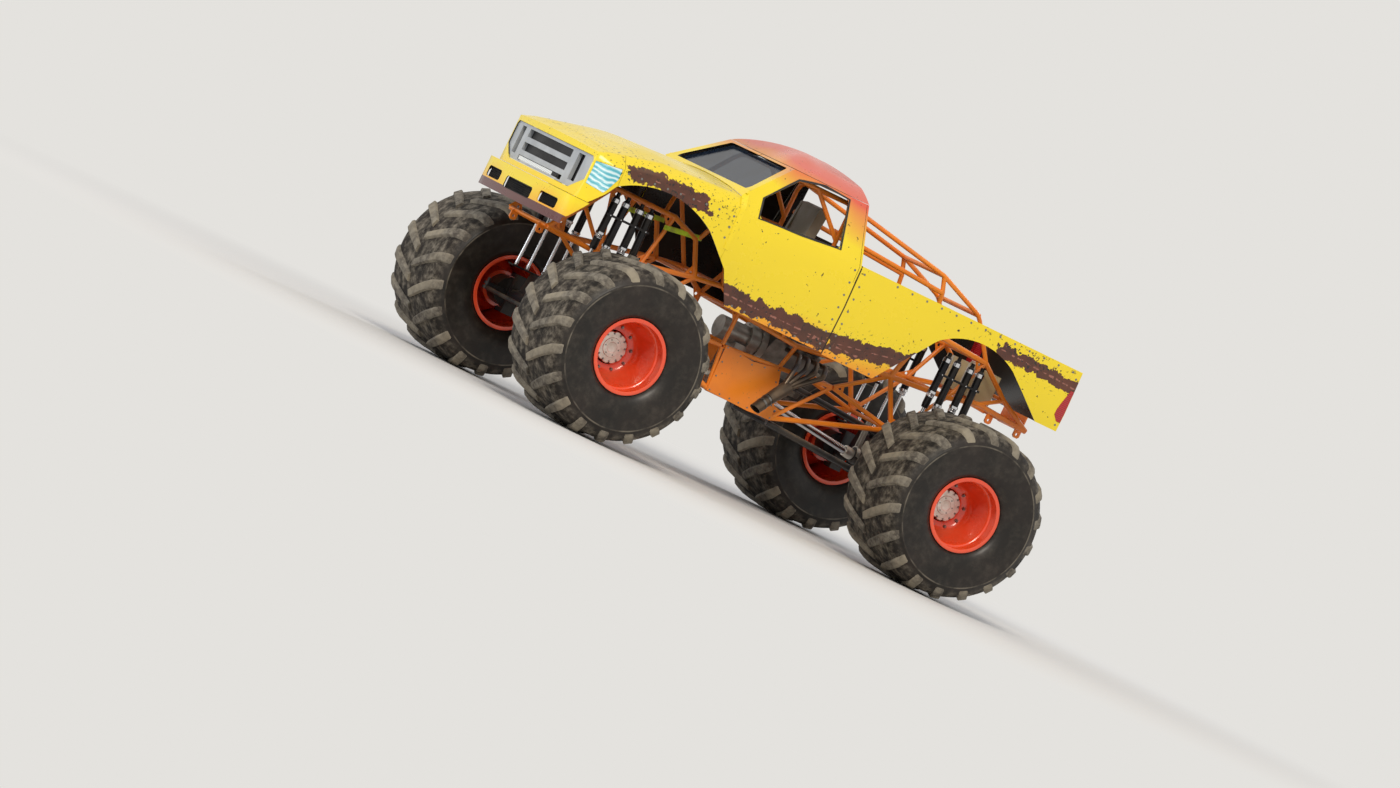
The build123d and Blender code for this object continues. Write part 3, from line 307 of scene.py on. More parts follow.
# Columns: x and z of the corner, of the node along one tube, and of the node along the other
gussets = [
    ((1.60, 1.60), (1.49, 2.12), (2.02, 1.52)), ((2.02, 1.52), (2.18, 2.12), (2.61, 1.55)),
    ((1.49, 2.12), (1.60, 1.60), (2.18, 2.12)), ((2.18, 2.12), (2.02, 1.52), (1.49, 2.12)),
    ((1.04, 1.70), (1.20, 2.02), (1.60, 1.60)), ((1.50, 1.21), (2.02, 1.52), (1.60, 1.60)),
    ((2.61, 1.55), (2.36, 1.86), (2.02, 1.52)), ((0.47, 1.59), (0.48, 1.25), (0.74, 1.74)),
    ((-1.24, 1.66), (-1.40, 2.20), (-0.74, 1.34)), ((-1.87, 1.71), (-2.09, 2.15), (-1.24, 1.66)),
    ((-1.40, 2.20), (-1.24, 1.66), (-2.09, 2.15)), ((-2.09, 2.15), (-1.87, 1.71), (-1.40, 2.20)),
    ((-1.49, 1.21), (-1.87, 1.71), (-1.24, 1.66)), ((-2.78, 1.74), (-2.43, 1.91), (-2.20, 1.78)),
    ((-0.74, 1.34), (-1.24, 1.66), (-1.49, 1.21)), ((-0.29, 0.84), (-0.74, 1.34), (-0.15, 1.29)),
]
bm = bmesh.new()
for side in (1, -1):
    for corner, first, second in gussets:
        start = Vector((corner[0], side * truss_y - gusset_thickness / 2, corner[1]))
        arms = [Vector((x - corner[0], 0, z - corner[1])).normalized() for x, z in (first, second)]
        corners = [start, start + arms[0] * gusset_reach, start + arms[1] * gusset_reach]
        holed_plate(bm, corners, Vector((0, gusset_thickness, 0)), gusset_hole)
add_shape("frame_gussets", bm, powder_coat)


# Belly panel screws: zinc-plated hexagon screws that hold the flat side plates to tabs on the frame.
# The zinc has dulled to grey.
def lathe(bm, outline, segments=64, place=Matrix()):
    """Turns an outline of (along, radius) points about the local Z axis, moves it to its place and returns
    its rings of corners."""
    rings = []
    for reach, radius in outline:
        turns = [2 * math.pi * i / segments for i in range(segments if radius > 1e-6 else 1)]
        rings.append([bm.verts.new(place @ Vector((radius * math.cos(t), radius * math.sin(t), reach)))
                      for t in turns])
    for low, high in zip(rings, rings[1:]):
        for i in range(max(len(low), len(high))):
            corners = [low[i % len(low)], low[(i + 1) % len(low)], high[(i + 1) % len(high)],
                       high[i % len(high)]]
            corners = [v for n, v in enumerate(corners) if v not in corners[:n]]
            if len(corners) > 2:
                bm.faces.new(corners)
    return rings


def facing(spot, way):
    """A place at the spot whose Z points the way."""
    return Matrix.Translation(spot) @ Vector(way).to_track_quat("Z", "Y").to_matrix().to_4x4()


def hex_screw(bm, place, across, height):
    """A hexagon head on its washer."""
    lathe(bm, [(0, 0), (0, across * 0.62), (height * 0.2, across * 0.62), (height * 0.2, across * 0.5)], 16,
          place)
    lathe(bm, [(height * 0.2, across * 0.56), (height * 0.85, across * 0.56), (height, across * 0.48),
               (height, 0)], 6, place)


screw_steel, tree, shader = new_finish("zinc_plated_screws", Metallic=1.0)
dusted(tree, shader, "#8C8A86", "#6B5C46", 0.05, 0.5, 0.32, 0.7)
grained(tree, shader, 0.002, 0.0002)
panel_edge = [(0.455, 1.275), (0.14, 1.24), (-0.165, 1.29), (-0.30, 0.825), (-0.03, 0.81), (0.44, 0.825)]
panel_face = 0.461
screw_inset = 0.03
bm = bmesh.new()
middle = Vector((0.08, 0, 1.04))
for side in (1, -1):
    for i, (x, z) in enumerate(panel_edge):
        start, end = [Vector((a, 0, b)) for a, b in ((x, z), panel_edge[(i + 1) % len(panel_edge)])]
        count = max(1, round((end - start).length / 0.13))
        for step in range(count):
            spot = start.lerp(end, step / count)
            spot += (middle - spot).normalized() * screw_inset
            spot.y = side * panel_face
            hex_screw(bm, facing(spot, (0, side, 0)), 0.013, 0.006)
add_shape("belly_panel_screws", bm, screw_steel)

# Limit straps: lime-yellow polyester webbing, 45 mm wide, pulled tight round a tower tube and a cage stay on
# each side. Woven webbing is matt with ribs across it, drawn 5 mm apart so that they show.
webbing, tree, shader = new_finish("woven_polyester_webbing", Roughness=0.8, Sheen_Weight=0.2)
place = add_node(tree, "TexCoord")
ribs = add_node(tree, "TexWave", {"Vector": (place, "Object"), "Scale": 60.0, "Distortion": 0.3},
                bands_direction="X")
lime = add_node(tree, "Mix", {"Factor": (ribs, "Fac"), "A": "#CDEB1C", "B": "#EAFF3A"})
add_node(tree, "Mix", {"Factor": patches(tree, 0.05), "A": lime, "B": "#A8A84A"}, (shader, "Base Color"))
add_node(tree, "Bump", {"Height": (ribs, "Fac"), "Distance": 0.0008}, (shader, "Normal"))
webbing_width = 0.045
webbing_thickness = 0.003
tube_radius = 0.026
tower_end = (1.516, truss_y, 2.0)
stay_end = (1.166, 0.415, 2.045)
outer_radius = tube_radius + webbing_thickness
strap_section = [(tube_radius, -0.5), (outer_radius, -0.5), (outer_radius, 0.5), (tube_radius, 0.5)]
sides = (("left", 1), ("right", -1))
for side_name, side in sides:
    ends = [Vector((x, side * y, z)) for x, y, z in (tower_end, stay_end)]
    run = (ends[1] - ends[0]).normalized()
    out = Vector((0, 0, 1)).cross(run)
    rows = []
    for end, way in ((ends[0], -1), (ends[1], 1)):
        for step in range(9):
            turn = math.pi * (step / 8 - 0.5)
            ray = way * run * math.cos(turn) + way * out * math.sin(turn)
            rows.append([end + ray * r + Vector((0, 0, rise * webbing_width)) for r, rise in strap_section])
    bm = bmesh.new()
    skin(bm, rows, ring=True)
    strap = add_shape(f"limit_strap_{side_name}", bm, webbing)


# Body: moulded glass-fibre panels in airbrushed gloss paint. The yellow turns orange towards the sill and
# red over the roof, with ragged brown bands and black spatter along them. The back of each panel, which
# faces in or down, is painted near-black as painted shade.
def band_depth(tree, axes, x_low, x_high, z_zero, slope, half):
    """How far inside a band a point is, in metres, and how far from the band's middle line. That line is at
    z_zero where x is zero and climbs by the slope, and the band narrows towards both ends."""
    climb = add_node(tree, "Math", {0: (axes, "X"), 1: slope, 2: z_zero}, operation="MULTIPLY_ADD")
    off = add_node(tree, "Math", {0: (axes, "Z"), 1: climb}, operation="SUBTRACT")
    off = add_node(tree, "Math", {0: off}, operation="ABSOLUTE")
    inside = add_node(tree, "Math", {0: half, 1: off}, operation="SUBTRACT")
    from_low = add_node(tree, "Math", {0: (axes, "X"), 1: x_low}, operation="SUBTRACT")
    from_high = add_node(tree, "Math", {0: x_high, 1: (axes, "X")}, operation="SUBTRACT")
    ends = add_node(tree, "Math", {0: from_low, 1: from_high}, operation="MINIMUM")
    ends = add_node(tree, "Math", {0: ends, 1: 0.3}, operation="MULTIPLY")
    return add_node(tree, "Math", {0: inside, 1: ends}, operation="MINIMUM"), off


def stripe(tree, value, middle, edge, core):
    """One within the core distance of the middle and nothing beyond the edge distance."""
    off = add_node(tree, "Math", {0: value, 1: middle}, operation="SUBTRACT")
    off = add_node(tree, "Math", {0: off}, operation="ABSOLUTE")
    return add_node(tree, "MapRange", {"Value": off, "From Min": edge, "From Max": core})


body_paint, tree, shader = new_finish("airbrushed_fibreglass_gloss", IOR=1.5, Coat_Weight=0.25,
                                      Coat_Roughness=0.2)
place = add_node(tree, "TexCoord")
axes = add_node(tree, "SeparateXYZ", {0: (place, "Object")})
wander = patches(tree, 0.5, 0.3, 0.7, 2.0, to_low=-0.1, to_high=0.1)
level = add_node(tree, "Math", {0: (axes, "Z"), 1: wander}, operation="ADD")
sill_fade = add_node(tree, "MapRange", {"Value": level, "From Min": 1.56, "From Max": 1.82})
forward = add_node(tree, "Math", {0: (axes, "X"), 1: 0.0}, operation="MAXIMUM")
rearward = add_node(tree, "Math", {0: forward, 1: -0.25, 2: level}, operation="MULTIPLY_ADD")
roof_fade = add_node(tree, "MapRange", {"Value": rearward, "From Min": 2.58, "From Max": 2.92})
colour = add_node(tree, "Mix", {"Factor": sill_fade, "A": "#F2981A", "B": "#F4D81E"})
layers = [(roof_fade, "#E0604A")]
# Columns: x of the two ends, height of the middle line at x zero, its slope, half the band's width
bands = [
    (-0.24, 1.22, 1.694, 0.0, 0.085),
    (-1.2, -0.12, 1.6735, -0.17, 0.085),
    (1.47, 2.4, 2.36, -0.01, 0.075),
    (-2.9, -1.85, 2.414, 0.044, 0.065),
]
deep, middles = band_depth(tree, axes, *bands[0])
for entry in bands[1:]:
    depth, off = band_depth(tree, axes, *entry)
    deep = add_node(tree, "Math", {0: deep, 1: depth}, operation="MAXIMUM")
    middles = add_node(tree, "Math", {0: middles, 1: off}, operation="MINIMUM")
tatter = patches(tree, 0.07, 0.3, 0.7, 6.0, 0.62, -0.05, 0.05)
torn = add_node(tree, "Math", {0: deep, 1: tatter}, operation="ADD")
brown = add_node(tree, "Mix", {"Factor": patches(tree, 0.12, detail=5.0), "A": "#43200F", "B": "#5E2E1C"})
inside = add_node(tree, "MapRange", {"Value": torn, "From Min": 0.0, "From Max": 0.005})
layers.append((inside, brown))
# A broken scratch line, 7 mm wide, with short gaps, runs down the middle of each band
weave = patches(tree, 0.05, 0.3, 0.7, 2.0, to_low=-0.012, to_high=0.012)
scratch = add_node(tree, "Math", {0: middles, 1: weave}, operation="ADD")
scratch = add_node(tree, "MapRange", {"Value": scratch, "From Min": 0.005, "From Max": 0.002})
dashes = add_node(tree, "TexWave", {"Vector": (place, "Object"), "Scale": 3.4, "Distortion": 3.0,
                                    "Detail": 2.0}, bands_direction="X")
dashes = add_node(tree, "MapRange", {"Value": (dashes, "Fac"), "From Min": 0.2, "From Max": 0.35})
deep_in = add_node(tree, "MapRange", {"Value": torn, "From Min": 0.02, "From Max": 0.04})
dashes = add_node(tree, "Math", {0: dashes, 1: deep_in}, operation="MULTIPLY")
scratch = add_node(tree, "Math", {0: scratch, 1: dashes}, operation="MULTIPLY")
layers.append((scratch, "#9A6253"))
near_band = add_node(tree, "MapRange", {"Value": deep, "From Min": -0.13, "From Max": -0.02})
drops = patches(tree, 0.016, 0.62, 0.64, 3.0)
drops = add_node(tree, "Math", {0: drops, 1: near_band}, operation="MULTIPLY")
strays = patches(tree, 0.022, 0.7, 0.715, 3.0)
spatter = add_node(tree, "Math", {0: drops, 1: strays}, operation="MAXIMUM")
layers.append((spatter, "#1B1512"))
# The bumper's lower lip is dark maroon
lip = add_node(tree, "Math", {0: (axes, "Z"), 1: 1.7}, operation="LESS_THAN")
ahead = add_node(tree, "Math", {0: (axes, "X"), 1: 2.45}, operation="GREATER_THAN")
lip = add_node(tree, "Math", {0: lip, 1: ahead}, operation="MULTIPLY")
layers.append((lip, "#5A2B2A"))
# The 4 mm gap where cab and bed part is widened by a dark line 13 mm wide, painted shade of the gap
seam_shade = stripe(tree, (axes, "X"), -0.182, 0.008, 0.005)
low_enough = add_node(tree, "Math", {0: (axes, "Z"), 1: 2.44}, operation="LESS_THAN")
seam_shade = add_node(tree, "Math", {0: seam_shade, 1: low_enough}, operation="MULTIPLY")
layers.append((seam_shade, "#2A1B10"))
# The back of a panel faces the truck's middle or the ground, and is painted near-black there as painted
# shade
face = add_node(tree, "NewGeometry")
lean = add_node(tree, "SeparateXYZ", {0: (face, "Normal")})
sign = add_node(tree, "Math", {0: (axes, "Y")}, operation="SIGN")
inward = add_node(tree, "Math", {0: (lean, "Y"), 1: sign}, operation="MULTIPLY")
inward = add_node(tree, "Math", {0: inward, 1: (lean, "Z")}, operation="MINIMUM")
from_seat = add_node(tree, "Math", {0: (axes, "X"), 1: 0.25}, operation="SUBTRACT")
from_seat = add_node(tree, "Math", {0: from_seat}, operation="SIGN")
from_seat = add_node(tree, "Math", {0: (lean, "X"), 1: from_seat}, operation="MULTIPLY")
inward = add_node(tree, "Math", {0: inward, 1: from_seat}, operation="MINIMUM")
painted_back_shade = add_node(tree, "MapRange", {"Value": inward, "From Min": -0.35, "From Max": -0.45})
layers.append((painted_back_shade, "#161210"))
for mask, over in layers:
    colour = add_node(tree, "Mix", {"Factor": mask, "A": colour, "B": over})
dusted(tree, shader, colour, "#B59A68", 0.3, 0.1, 0.26, 0.5)
paint(body_paint, "hood", "fender_left", "fender_right", "nose", "bumper", "cab_left", "cab_right",
      "cab_back", "roof", "bed_left", "bed_right", "tailgate")

# Panel fasteners: zinc quarter-turn studs, 22 mm across, along the edges of the panels. A ray from outside
# finds the panel that each one sits on.
edge_stud = [(0, 0), (0, 0.011), (0.0018, 0.0105), (0.0025, 0.008), (0.0025, 0.003), (0.0012, 0.003),
             (0.0012, 0)]
stud_rows = [("bed", -0.235, 1.66, -0.235, 2.40, 7), ("cab", -0.125, 1.66, -0.125, 2.40, 7),
             ("bed", -0.33, 1.60, -0.72, 1.60, 4), ("cab", 0.0, 1.62, 0.86, 1.62, 7),
             ("fender", 1.235, 2.36, 1.235, 2.15, 3), ("fender", 1.4, 2.36, 2.38, 2.29, 8),
             ("bed", -2.71, 1.92, -2.71, 2.38, 4), ("bed", -0.6, 2.43, -2.65, 2.43, 13)]
studded = ("bed_left", "bed_right", "cab_left", "cab_right", "fender_left", "fender_right", "hood")
depsgraph = bpy.context.evaluated_depsgraph_get()
surfaces = {name: BVHTree.FromObject(cad[name], depsgraph) for name in studded}


def meet(panel, x, z):
    """Where a level ray from 2 m out meets a side panel, and the panel's normal there."""
    side = 1 if panel.endswith("left") else -1
    return surfaces[panel].ray_cast(Vector((x, side * 2.0, z)), Vector((0, -side, 0)))[:2]


bm = bmesh.new()
for side_name, side in sides:
    for panel, x_start, z_start, x_end, z_end, count in stud_rows:
        for step in range(count):
            part = step / (count - 1)
            x, z = x_start + (x_end - x_start) * part, z_start + (z_end - z_start) * part
            hit, normal = meet(f"{panel}_{side_name}", x, z)
            if hit is not None:
                lathe(bm, edge_stud, 16, facing(hit, normal))
    for step in range(8):
        ray = Vector((1.28 + 0.17 * step, side * 0.79, 3.5))
        hit, normal, _, _ = surfaces["hood"].ray_cast(ray, Vector((0, 0, -1)))
        if hit is not None:
            lathe(bm, edge_stud, 16, facing(hit, normal))
add_shape("panel_fasteners", bm, screw_steel)

# Cowl strip: a moulded fibreglass strip in the body's paint, 52 mm wide and 4 mm thick, that covers the
# joint of hood and fenders with the cab and ends at the fender's waist. Its two edges follow the two
# sections.
strip_thickness = 0.004
strip_front = [(1.0, 2.056), (0.974, 2.441), (0.937, 2.482), (0.901, 2.523), (0.873, 2.558)]
strip_front += [(0.0873 * step, 2.612 - 0.054 * (step / 10) ** 2) for step in range(9, -1, -1)]
strip_rear = [(1.0, 2.056), (0.974, 2.447), (0.937, 2.522), (0.906, 2.583), (0.868, 2.634)]
strip_rear += [(0.0868 * step, 2.634) for step in range(9, -1, -1)]
rows = []
for (front_y, front_z), (rear_y, rear_z) in zip(strip_front, strip_rear):
    out = Vector((0.3, front_y, front_z - 1.8)).normalized() * strip_thickness
    front, rear = Vector((1.202, front_y, front_z)), Vector((1.150, rear_y, rear_z))
    rows.append([front, rear, rear + out, front + out])
rows += [[Vector((p.x, -p.y, p.z)) for p in row] for row in rows[-2::-1]]
bm = bmesh.new()
skin(bm, rows)
add_shape("cowl_strip", bm, body_paint)

# Grille: vacuum-formed ABS skin painted satin silver. Matt black ABS with thin slats closes the back of its
# slots, and a pale hatched light bar with a dark end fills the lowest one.
silver = coated("silver_painted_abs", (0.1,), ("#B9BEC2", "#A6ABB0"), ("#8F8168", 0.15, 0.4), (0.3, 0.6),
                (0.004, 0.0003), Metallic=0.25, IOR=1.46)
paint(silver, "grille")
black_abs = coated("black_moulded_abs", (0.06,), ("#0D0E11", "#16171B"), ("#5C5343", 0.08, 0.3),
                   (0.45, 0.75), (0.002, 0.0004), IOR=1.46)


def bowed_plate(bm, line, low, high, thickness):
    """An upright plate along a line of (x, y) points, from one height to another, thick towards the rear."""
    rows = []
    for x, y in line:
        rows.append([(x, y, low), (x, y, high), (x - thickness, y, high), (x - thickness, y, low)])
    skin(bm, rows)


grille_front = [(2.692, 0.86), (2.727, 0.60), (2.752, 0.30), (2.760, 0.0), (2.752, -0.30), (2.727, -0.60),
                (2.692, -0.86)]
slat_pitch = 0.0145
slat_half = 0.0022
slat_line = [(x - 0.024, y * 0.56) for x, y in grille_front]
bm = bmesh.new()
bowed_plate(bm, [(x - 0.034, y * 0.72 / 0.86) for x, y in grille_front], 1.972, 2.285, 0.004)
for lowest in (2.074, 2.203):
    for step in range(5):
        z = lowest + slat_pitch * step
        bowed_plate(bm, slat_line, z - slat_half, z + slat_half, 0.008)
add_shape("grille_slot_backs", bm, black_abs)
# The light bar is clear moulded plastic with a slanting hatch, a line every 22 mm
bar_white, tree, shader = new_finish("hatched_polycarbonate_bar", IOR=1.58, Roughness=0.2)
place = add_node(tree, "TexCoord")
slanted = add_node(tree, "Mapping", {"Vector": (place, "Object"), "Rotation": (0.9, 0, 0)})
hatch = add_node(tree, "TexWave", {"Vector": slanted, "Scale": 14.0}, bands_direction="Y")
add_node(tree, "Mix", {"Factor": (hatch, "Fac"), "A": "#C9D2D8", "B": "#F4F6F6"}, (shader, "Base Color"))
add_node(tree, "Bump", {"Height": (hatch, "Fac"), "Distance": 0.001}, (shader, "Normal"))
bm = bmesh.new()
bowed_plate(bm, [(2.747, 0.30), (2.7545, 0.0), (2.747, -0.30), (2.7385, -0.46)], 1.974, 2.010, 0.018)
add_shape("grille_light_bar", bm, bar_white)
bm = bmesh.new()
bowed_plate(bm, [(2.7400, 0.43), (2.7465, 0.305)], 1.972, 2.012, 0.018)
for y in (0.34, 0.37, 0.40):
    spot = facing((2.744, y, 1.992), (1, 0.064, 0))
    lathe(bm, [(0, 0.0), (0, 0.014), (0.004, 0.012), (0.004, 0)], 20, spot)
add_shape("light_bar_driver", bm, black_abs)

# Bumper ducts: black ABS honeycomb, 21 mm from cell to cell, on a backing sheet that is set 30 mm behind the
# bumper's face in its three openings.
# Columns: y of the middle, z of the middle, width, height of the opening
ducts = [(0.0, 1.745, 0.58, 0.11), (0.605, 1.765, 0.34, 0.10), (-0.605, 1.765, 0.34, 0.10)]
duct_depth = 0.03
bumper_x = 2.85
bumper_half = 0.87
bumper_bow = 0.055
cell = 0.021
comb_wall = [(0.0, 0.0105), (0.009, 0.0105), (0.009, 0.0088), (0.0005, 0.0088), (0.0, 0.0105)]


def duct_back(y):
    """The x of the ducts' backing sheet, which follows the bow of the bumper."""
    return bumper_x - bumper_bow * (y / bumper_half) ** 2 - duct_depth


bm = bmesh.new()
for y_mid, z_mid, width, height in ducts:
    ys = [y_mid + width * (step / 8 - 0.5) * 1.06 for step in range(9)]
    bowed_plate(bm, [(duct_back(y), y) for y in ys], z_mid - height * 0.55, z_mid + height * 0.55, 0.004)
    for row in range(-2, 3):
        for column in range(-int(width / cell / 2) + 1, int(width / cell / 2)):
            y = y_mid + (column + 0.5 * (row % 2)) * cell
            spot = facing((duct_back(y), y, z_mid + row * cell * 0.87), (1, 0, 0))
            lathe(bm, comb_wall, 6, spot)
add_shape("bumper_ducts", bm, black_abs)

# Lamps: airbrushed clear sheet over white at the front, in cyan and white waves, and dark red acrylic at
# the tail. Acrylic is glossy with a thin clear skin.
lens, tree, shader = new_finish("printed_lamp_acrylic", IOR=1.49, Roughness=0.12, Coat_Weight=0.6,
                                Coat_Roughness=0.05)
place = add_node(tree, "TexCoord")
axes = add_node(tree, "SeparateXYZ", {0: (place, "Object")})
waves = add_node(tree, "TexWave", {"Vector": (place, "Object"), "Scale": 6.5, "Distortion": 6.0,
                                   "Detail": 1.0}, bands_direction="Z")
front_lens = add_node(tree, "ValToRGB", {"Fac": (waves, "Fac")})
front_lens.color_ramp.elements[0].color = linear("#4BAFC2")
front_lens.color_ramp.elements[1].color = linear("#E2F6F8")
front_lens.color_ramp.elements.new(0.45).color = linear("#7CCEDA")
flutes = add_node(tree, "TexWave", {"Vector": (place, "Object"), "Scale": 18.0}, bands_direction="Z")
tail_lens = add_node(tree, "Mix", {"Factor": (flutes, "Fac"), "A": "#8F0F17", "B": "#C21E22"})
ahead = add_node(tree, "Math", {0: (axes, "X"), 1: 0.0}, operation="GREATER_THAN")
add_node(tree, "Mix", {"Factor": ahead, "A": tail_lens, "B": (front_lens, "Color")}, (shader, "Base Color"))
add_node(tree, "Bump", {"Height": (flutes, "Fac"), "Distance": 0.0015}, (shader, "Normal"))
paint(lens, "lamps")

# Side tail lenses: the tail lamps' red acrylic turns the bed's rear corners, 4 mm proud of the panel, and is
# longest near its lower end.
def strip_row(panel, spots, sink, rise):
    """One section of a strip on a side panel between two (x, z) spots, or none where the panel ends."""
    row = []
    for x, z in spots:
        hit, normal = meet(panel, x, z)
        if hit is not None and abs(hit.y) > 0.5:
            row += [hit - normal * sink, hit + normal * rise]
    return [[row[0], row[1], row[3], row[2]]] if len(row) == 4 else []


lens_rear = -2.746
lens_front = [-2.70, -2.652, -2.652, -2.665, -2.68, -2.695, -2.71]
lens_z = (1.955, 2.265)
lens_rise = 0.004
for side_name, side in sides:
    rows = []
    for step, front in enumerate(lens_front):
        z = lens_z[0] + (lens_z[1] - lens_z[0]) * step / 6
        rows += strip_row(f"bed_{side_name}", ((lens_rear, z), (front, z)), 0.001, lens_rise)
    bm = bmesh.new()
    skin(bm, rows)
    add_shape(f"side_tail_lens_{side_name}", bm, lens)

# Windscreen: thin polycarbonate with a dark blue tint, bonded into the cab's opening. It is clear enough to
# show the cage behind it, and paler and duller where it is scuffed.
screen, tree, shader = new_finish("tinted_polycarbonate", IOR=1.4, Alpha=0.74, Specular_IOR_Level=0.4)
scuffs = patches(tree, 0.12, 0.3, 0.8, 6.0, 0.6)
add_node(tree, "Mix", {"Factor": scuffs, "A": "#121B2A", "B": "#2C3848"}, (shader, "Base Color"))
add_node(tree, "MapRange", {"Value": scuffs, "To Min": 0.05, "To Max": 0.22}, (shader, "Roughness"))
paint(screen, "windscreen")

# Window edging: a black rubber strip, 19 mm wide, pressed over the cut edge of each side window. Moulded
# rubber is matt with a fine grain, and dust settles along it.
edging, tree, shader = new_finish("black_edging_rubber", IOR=1.52)
dusted(tree, shader, "#17161A", "#6E6350", 0.05, 0.4, 0.55, 0.8)
grained(tree, shader, 0.003, 0.0004)
window = [(0.092, 2.515), (0.69, 2.47), (0.985, 2.445), (0.98, 2.63), (0.66, 2.905), (0.39, 2.962),
          (0.11, 2.95)]
edging_reach = (0.001, 0.020)
edging_rise = 0.0035
for side_name, side in sides:
    middle = Vector((0.52, 0, 2.7))
    rows = []
    for i, (x, z) in enumerate(window):
        start, end = [Vector((a, 0, b)) for a, b in ((x, z), window[(i + 1) % len(window)])]
        for step in range(6):
            spot = start.lerp(end, step / 6)
            out = (spot - middle).normalized()
            spots = [(spot + out * reach).xz for reach in edging_reach]
            rows += strip_row(f"cab_{side_name}", spots, 0.002, edging_rise)
    bm = bmesh.new()
    skin(bm, rows, ring=True)
    add_shape(f"window_edging_{side_name}", bm, edging)

# Seat: a folded aluminium shell in tan-grey paint. The paint is matt and dulled by dust, so the shell shows
# hardly any gloss.
shell = coated("painted_aluminium_shell", (0.15,), ("#9A8D78", "#85795F"), ("#A08B68", 0.15, 0.4),
               (0.45, 0.7), (0.004, 0.0004), IOR=1.5)
paint(shell, "seat")

# Engine: sand-cast aluminium block, heads and blower, greyed by oil and dust. The sand leaves a grain, drawn
# 4 mm coarse so that it shows.
cast = coated("sand_cast_aluminium", (0.08, 0.35, 0.65, 5.0), ("#8F8D88", "#5F5D5A"), ("#4A3E31", 0.12, 0.6),
              (0.36, 0.7), (0.004, 0.0015), Metallic=0.85)
paint(cast, "engine")

# Blower drive: a matt moulded rubber belt over two pulleys at the engine's free end. The pulleys, the three
# throttle plates in the injector hat's mouth and the screws along both valve covers are machined bright.
belt_rubber, tree, shader = new_finish("moulded_belt_rubber", IOR=1.52)
dusted(tree, shader, "#141416", "#5B5040", 0.05, 0.35, 0.55, 0.8)
grained(tree, shader, 0.003, 0.0005)
belt_ends = [(1.38, 0.097), (1.72, 0.062)]
belt_x = (-0.672, -0.622)
belt_thickness = 0.009
spread = math.asin((belt_ends[0][1] - belt_ends[1][1]) / (belt_ends[1][0] - belt_ends[0][0]))
rows = []
for (z, radius), first, last in ((belt_ends[0], math.pi + spread, 2 * math.pi - spread),
                                 (belt_ends[1], -spread, math.pi + spread)):
    outside = radius + belt_thickness
    for step in range(25):
        turn = first + (last - first) * step / 24
        section = ((belt_x[0], radius), (belt_x[1], radius), (belt_x[1], outside), (belt_x[0], outside))
        rows.append([(x, r * math.cos(turn), z + r * math.sin(turn)) for x, r in section])
bm = bmesh.new()
skin(bm, rows, ring=True)
add_shape("blower_belt", bm, belt_rubber)
machined = coated("machined_aluminium", (0.03, 0.3, 0.7), ("#E6E1D6", "#C9C2B4"), ("#8C7A5E", 0.06, 0.5),
                  (0.3, 0.6), (0.002, 0.0003), Metallic=0.75)
bm = bmesh.new()
for y in (-0.088, 0.0, 0.088):
    spot = facing((-0.133, y, 1.972), (0.98, 0, -0.163))
    lathe(bm, [(-0.004, 0.040), (0.010, 0.040), (0.010, 0.035), (0.003, 0.034), (0.003, 0.003),
               (0.006, 0.003), (0.006, 0)], 32, spot)
for z, radius in belt_ends:
    cheek = [(-0.003, radius - 0.01), (-0.003, radius + 0.014), (0.002, radius + 0.014),
             (0.002, radius - 0.012), (0.0, radius - 0.03), (0.0, 0.02), (0.006, 0.018), (0.006, 0)]
    for x, way in ((belt_x[0] - 0.003, -1), (belt_x[1] + 0.002, 1)):
        lathe(bm, cheek, 40, facing((x, 0, z), (way, 0, 0)))
slant = math.sqrt(0.5)
for side in (1, -1):
    for step in range(6):
        for edge in (-0.054, 0.054):
            middle = Vector((-0.35 + (step - 2.5) * 0.088, side * 0.215, 1.59))
            up = Vector((0, side * slant, slant))
            spot = middle + up * 0.0555 + Vector((0, slant, -side * slant)) * edge
            hex_screw(bm, facing(spot, up), 0.012, 0.008)
add_shape("engine_trim", bm, machined)

# Gearbox and transfer case: bare cast housings, pale grey and patchy with oil and dust, with two rings of
# screws round the bell housing.
pale_cast = coated("bare_cast_housing", (0.1, 0.35, 0.65, 5.0), ("#B4B1A9", "#77736B"),
                   ("#574B3B", 0.12, 0.55), (0.36, 0.65), (0.004, 0.001), Metallic=0.55)
paint(pale_cast, "gearbox")
bm = bmesh.new()
for x, radius, count in ((-0.02, 0.160, 14), (0.09, 0.130, 10)):
    for step in range(count):
        turn = 2 * math.pi * (step + 0.5) / count
        spot = Vector((x, radius * math.cos(turn), 1.4 + radius * math.sin(turn)))
        hex_screw(bm, facing(spot, (1, 0, 0)), 0.014, 0.009)
add_shape("gearbox_screws", bm, screw_steel)


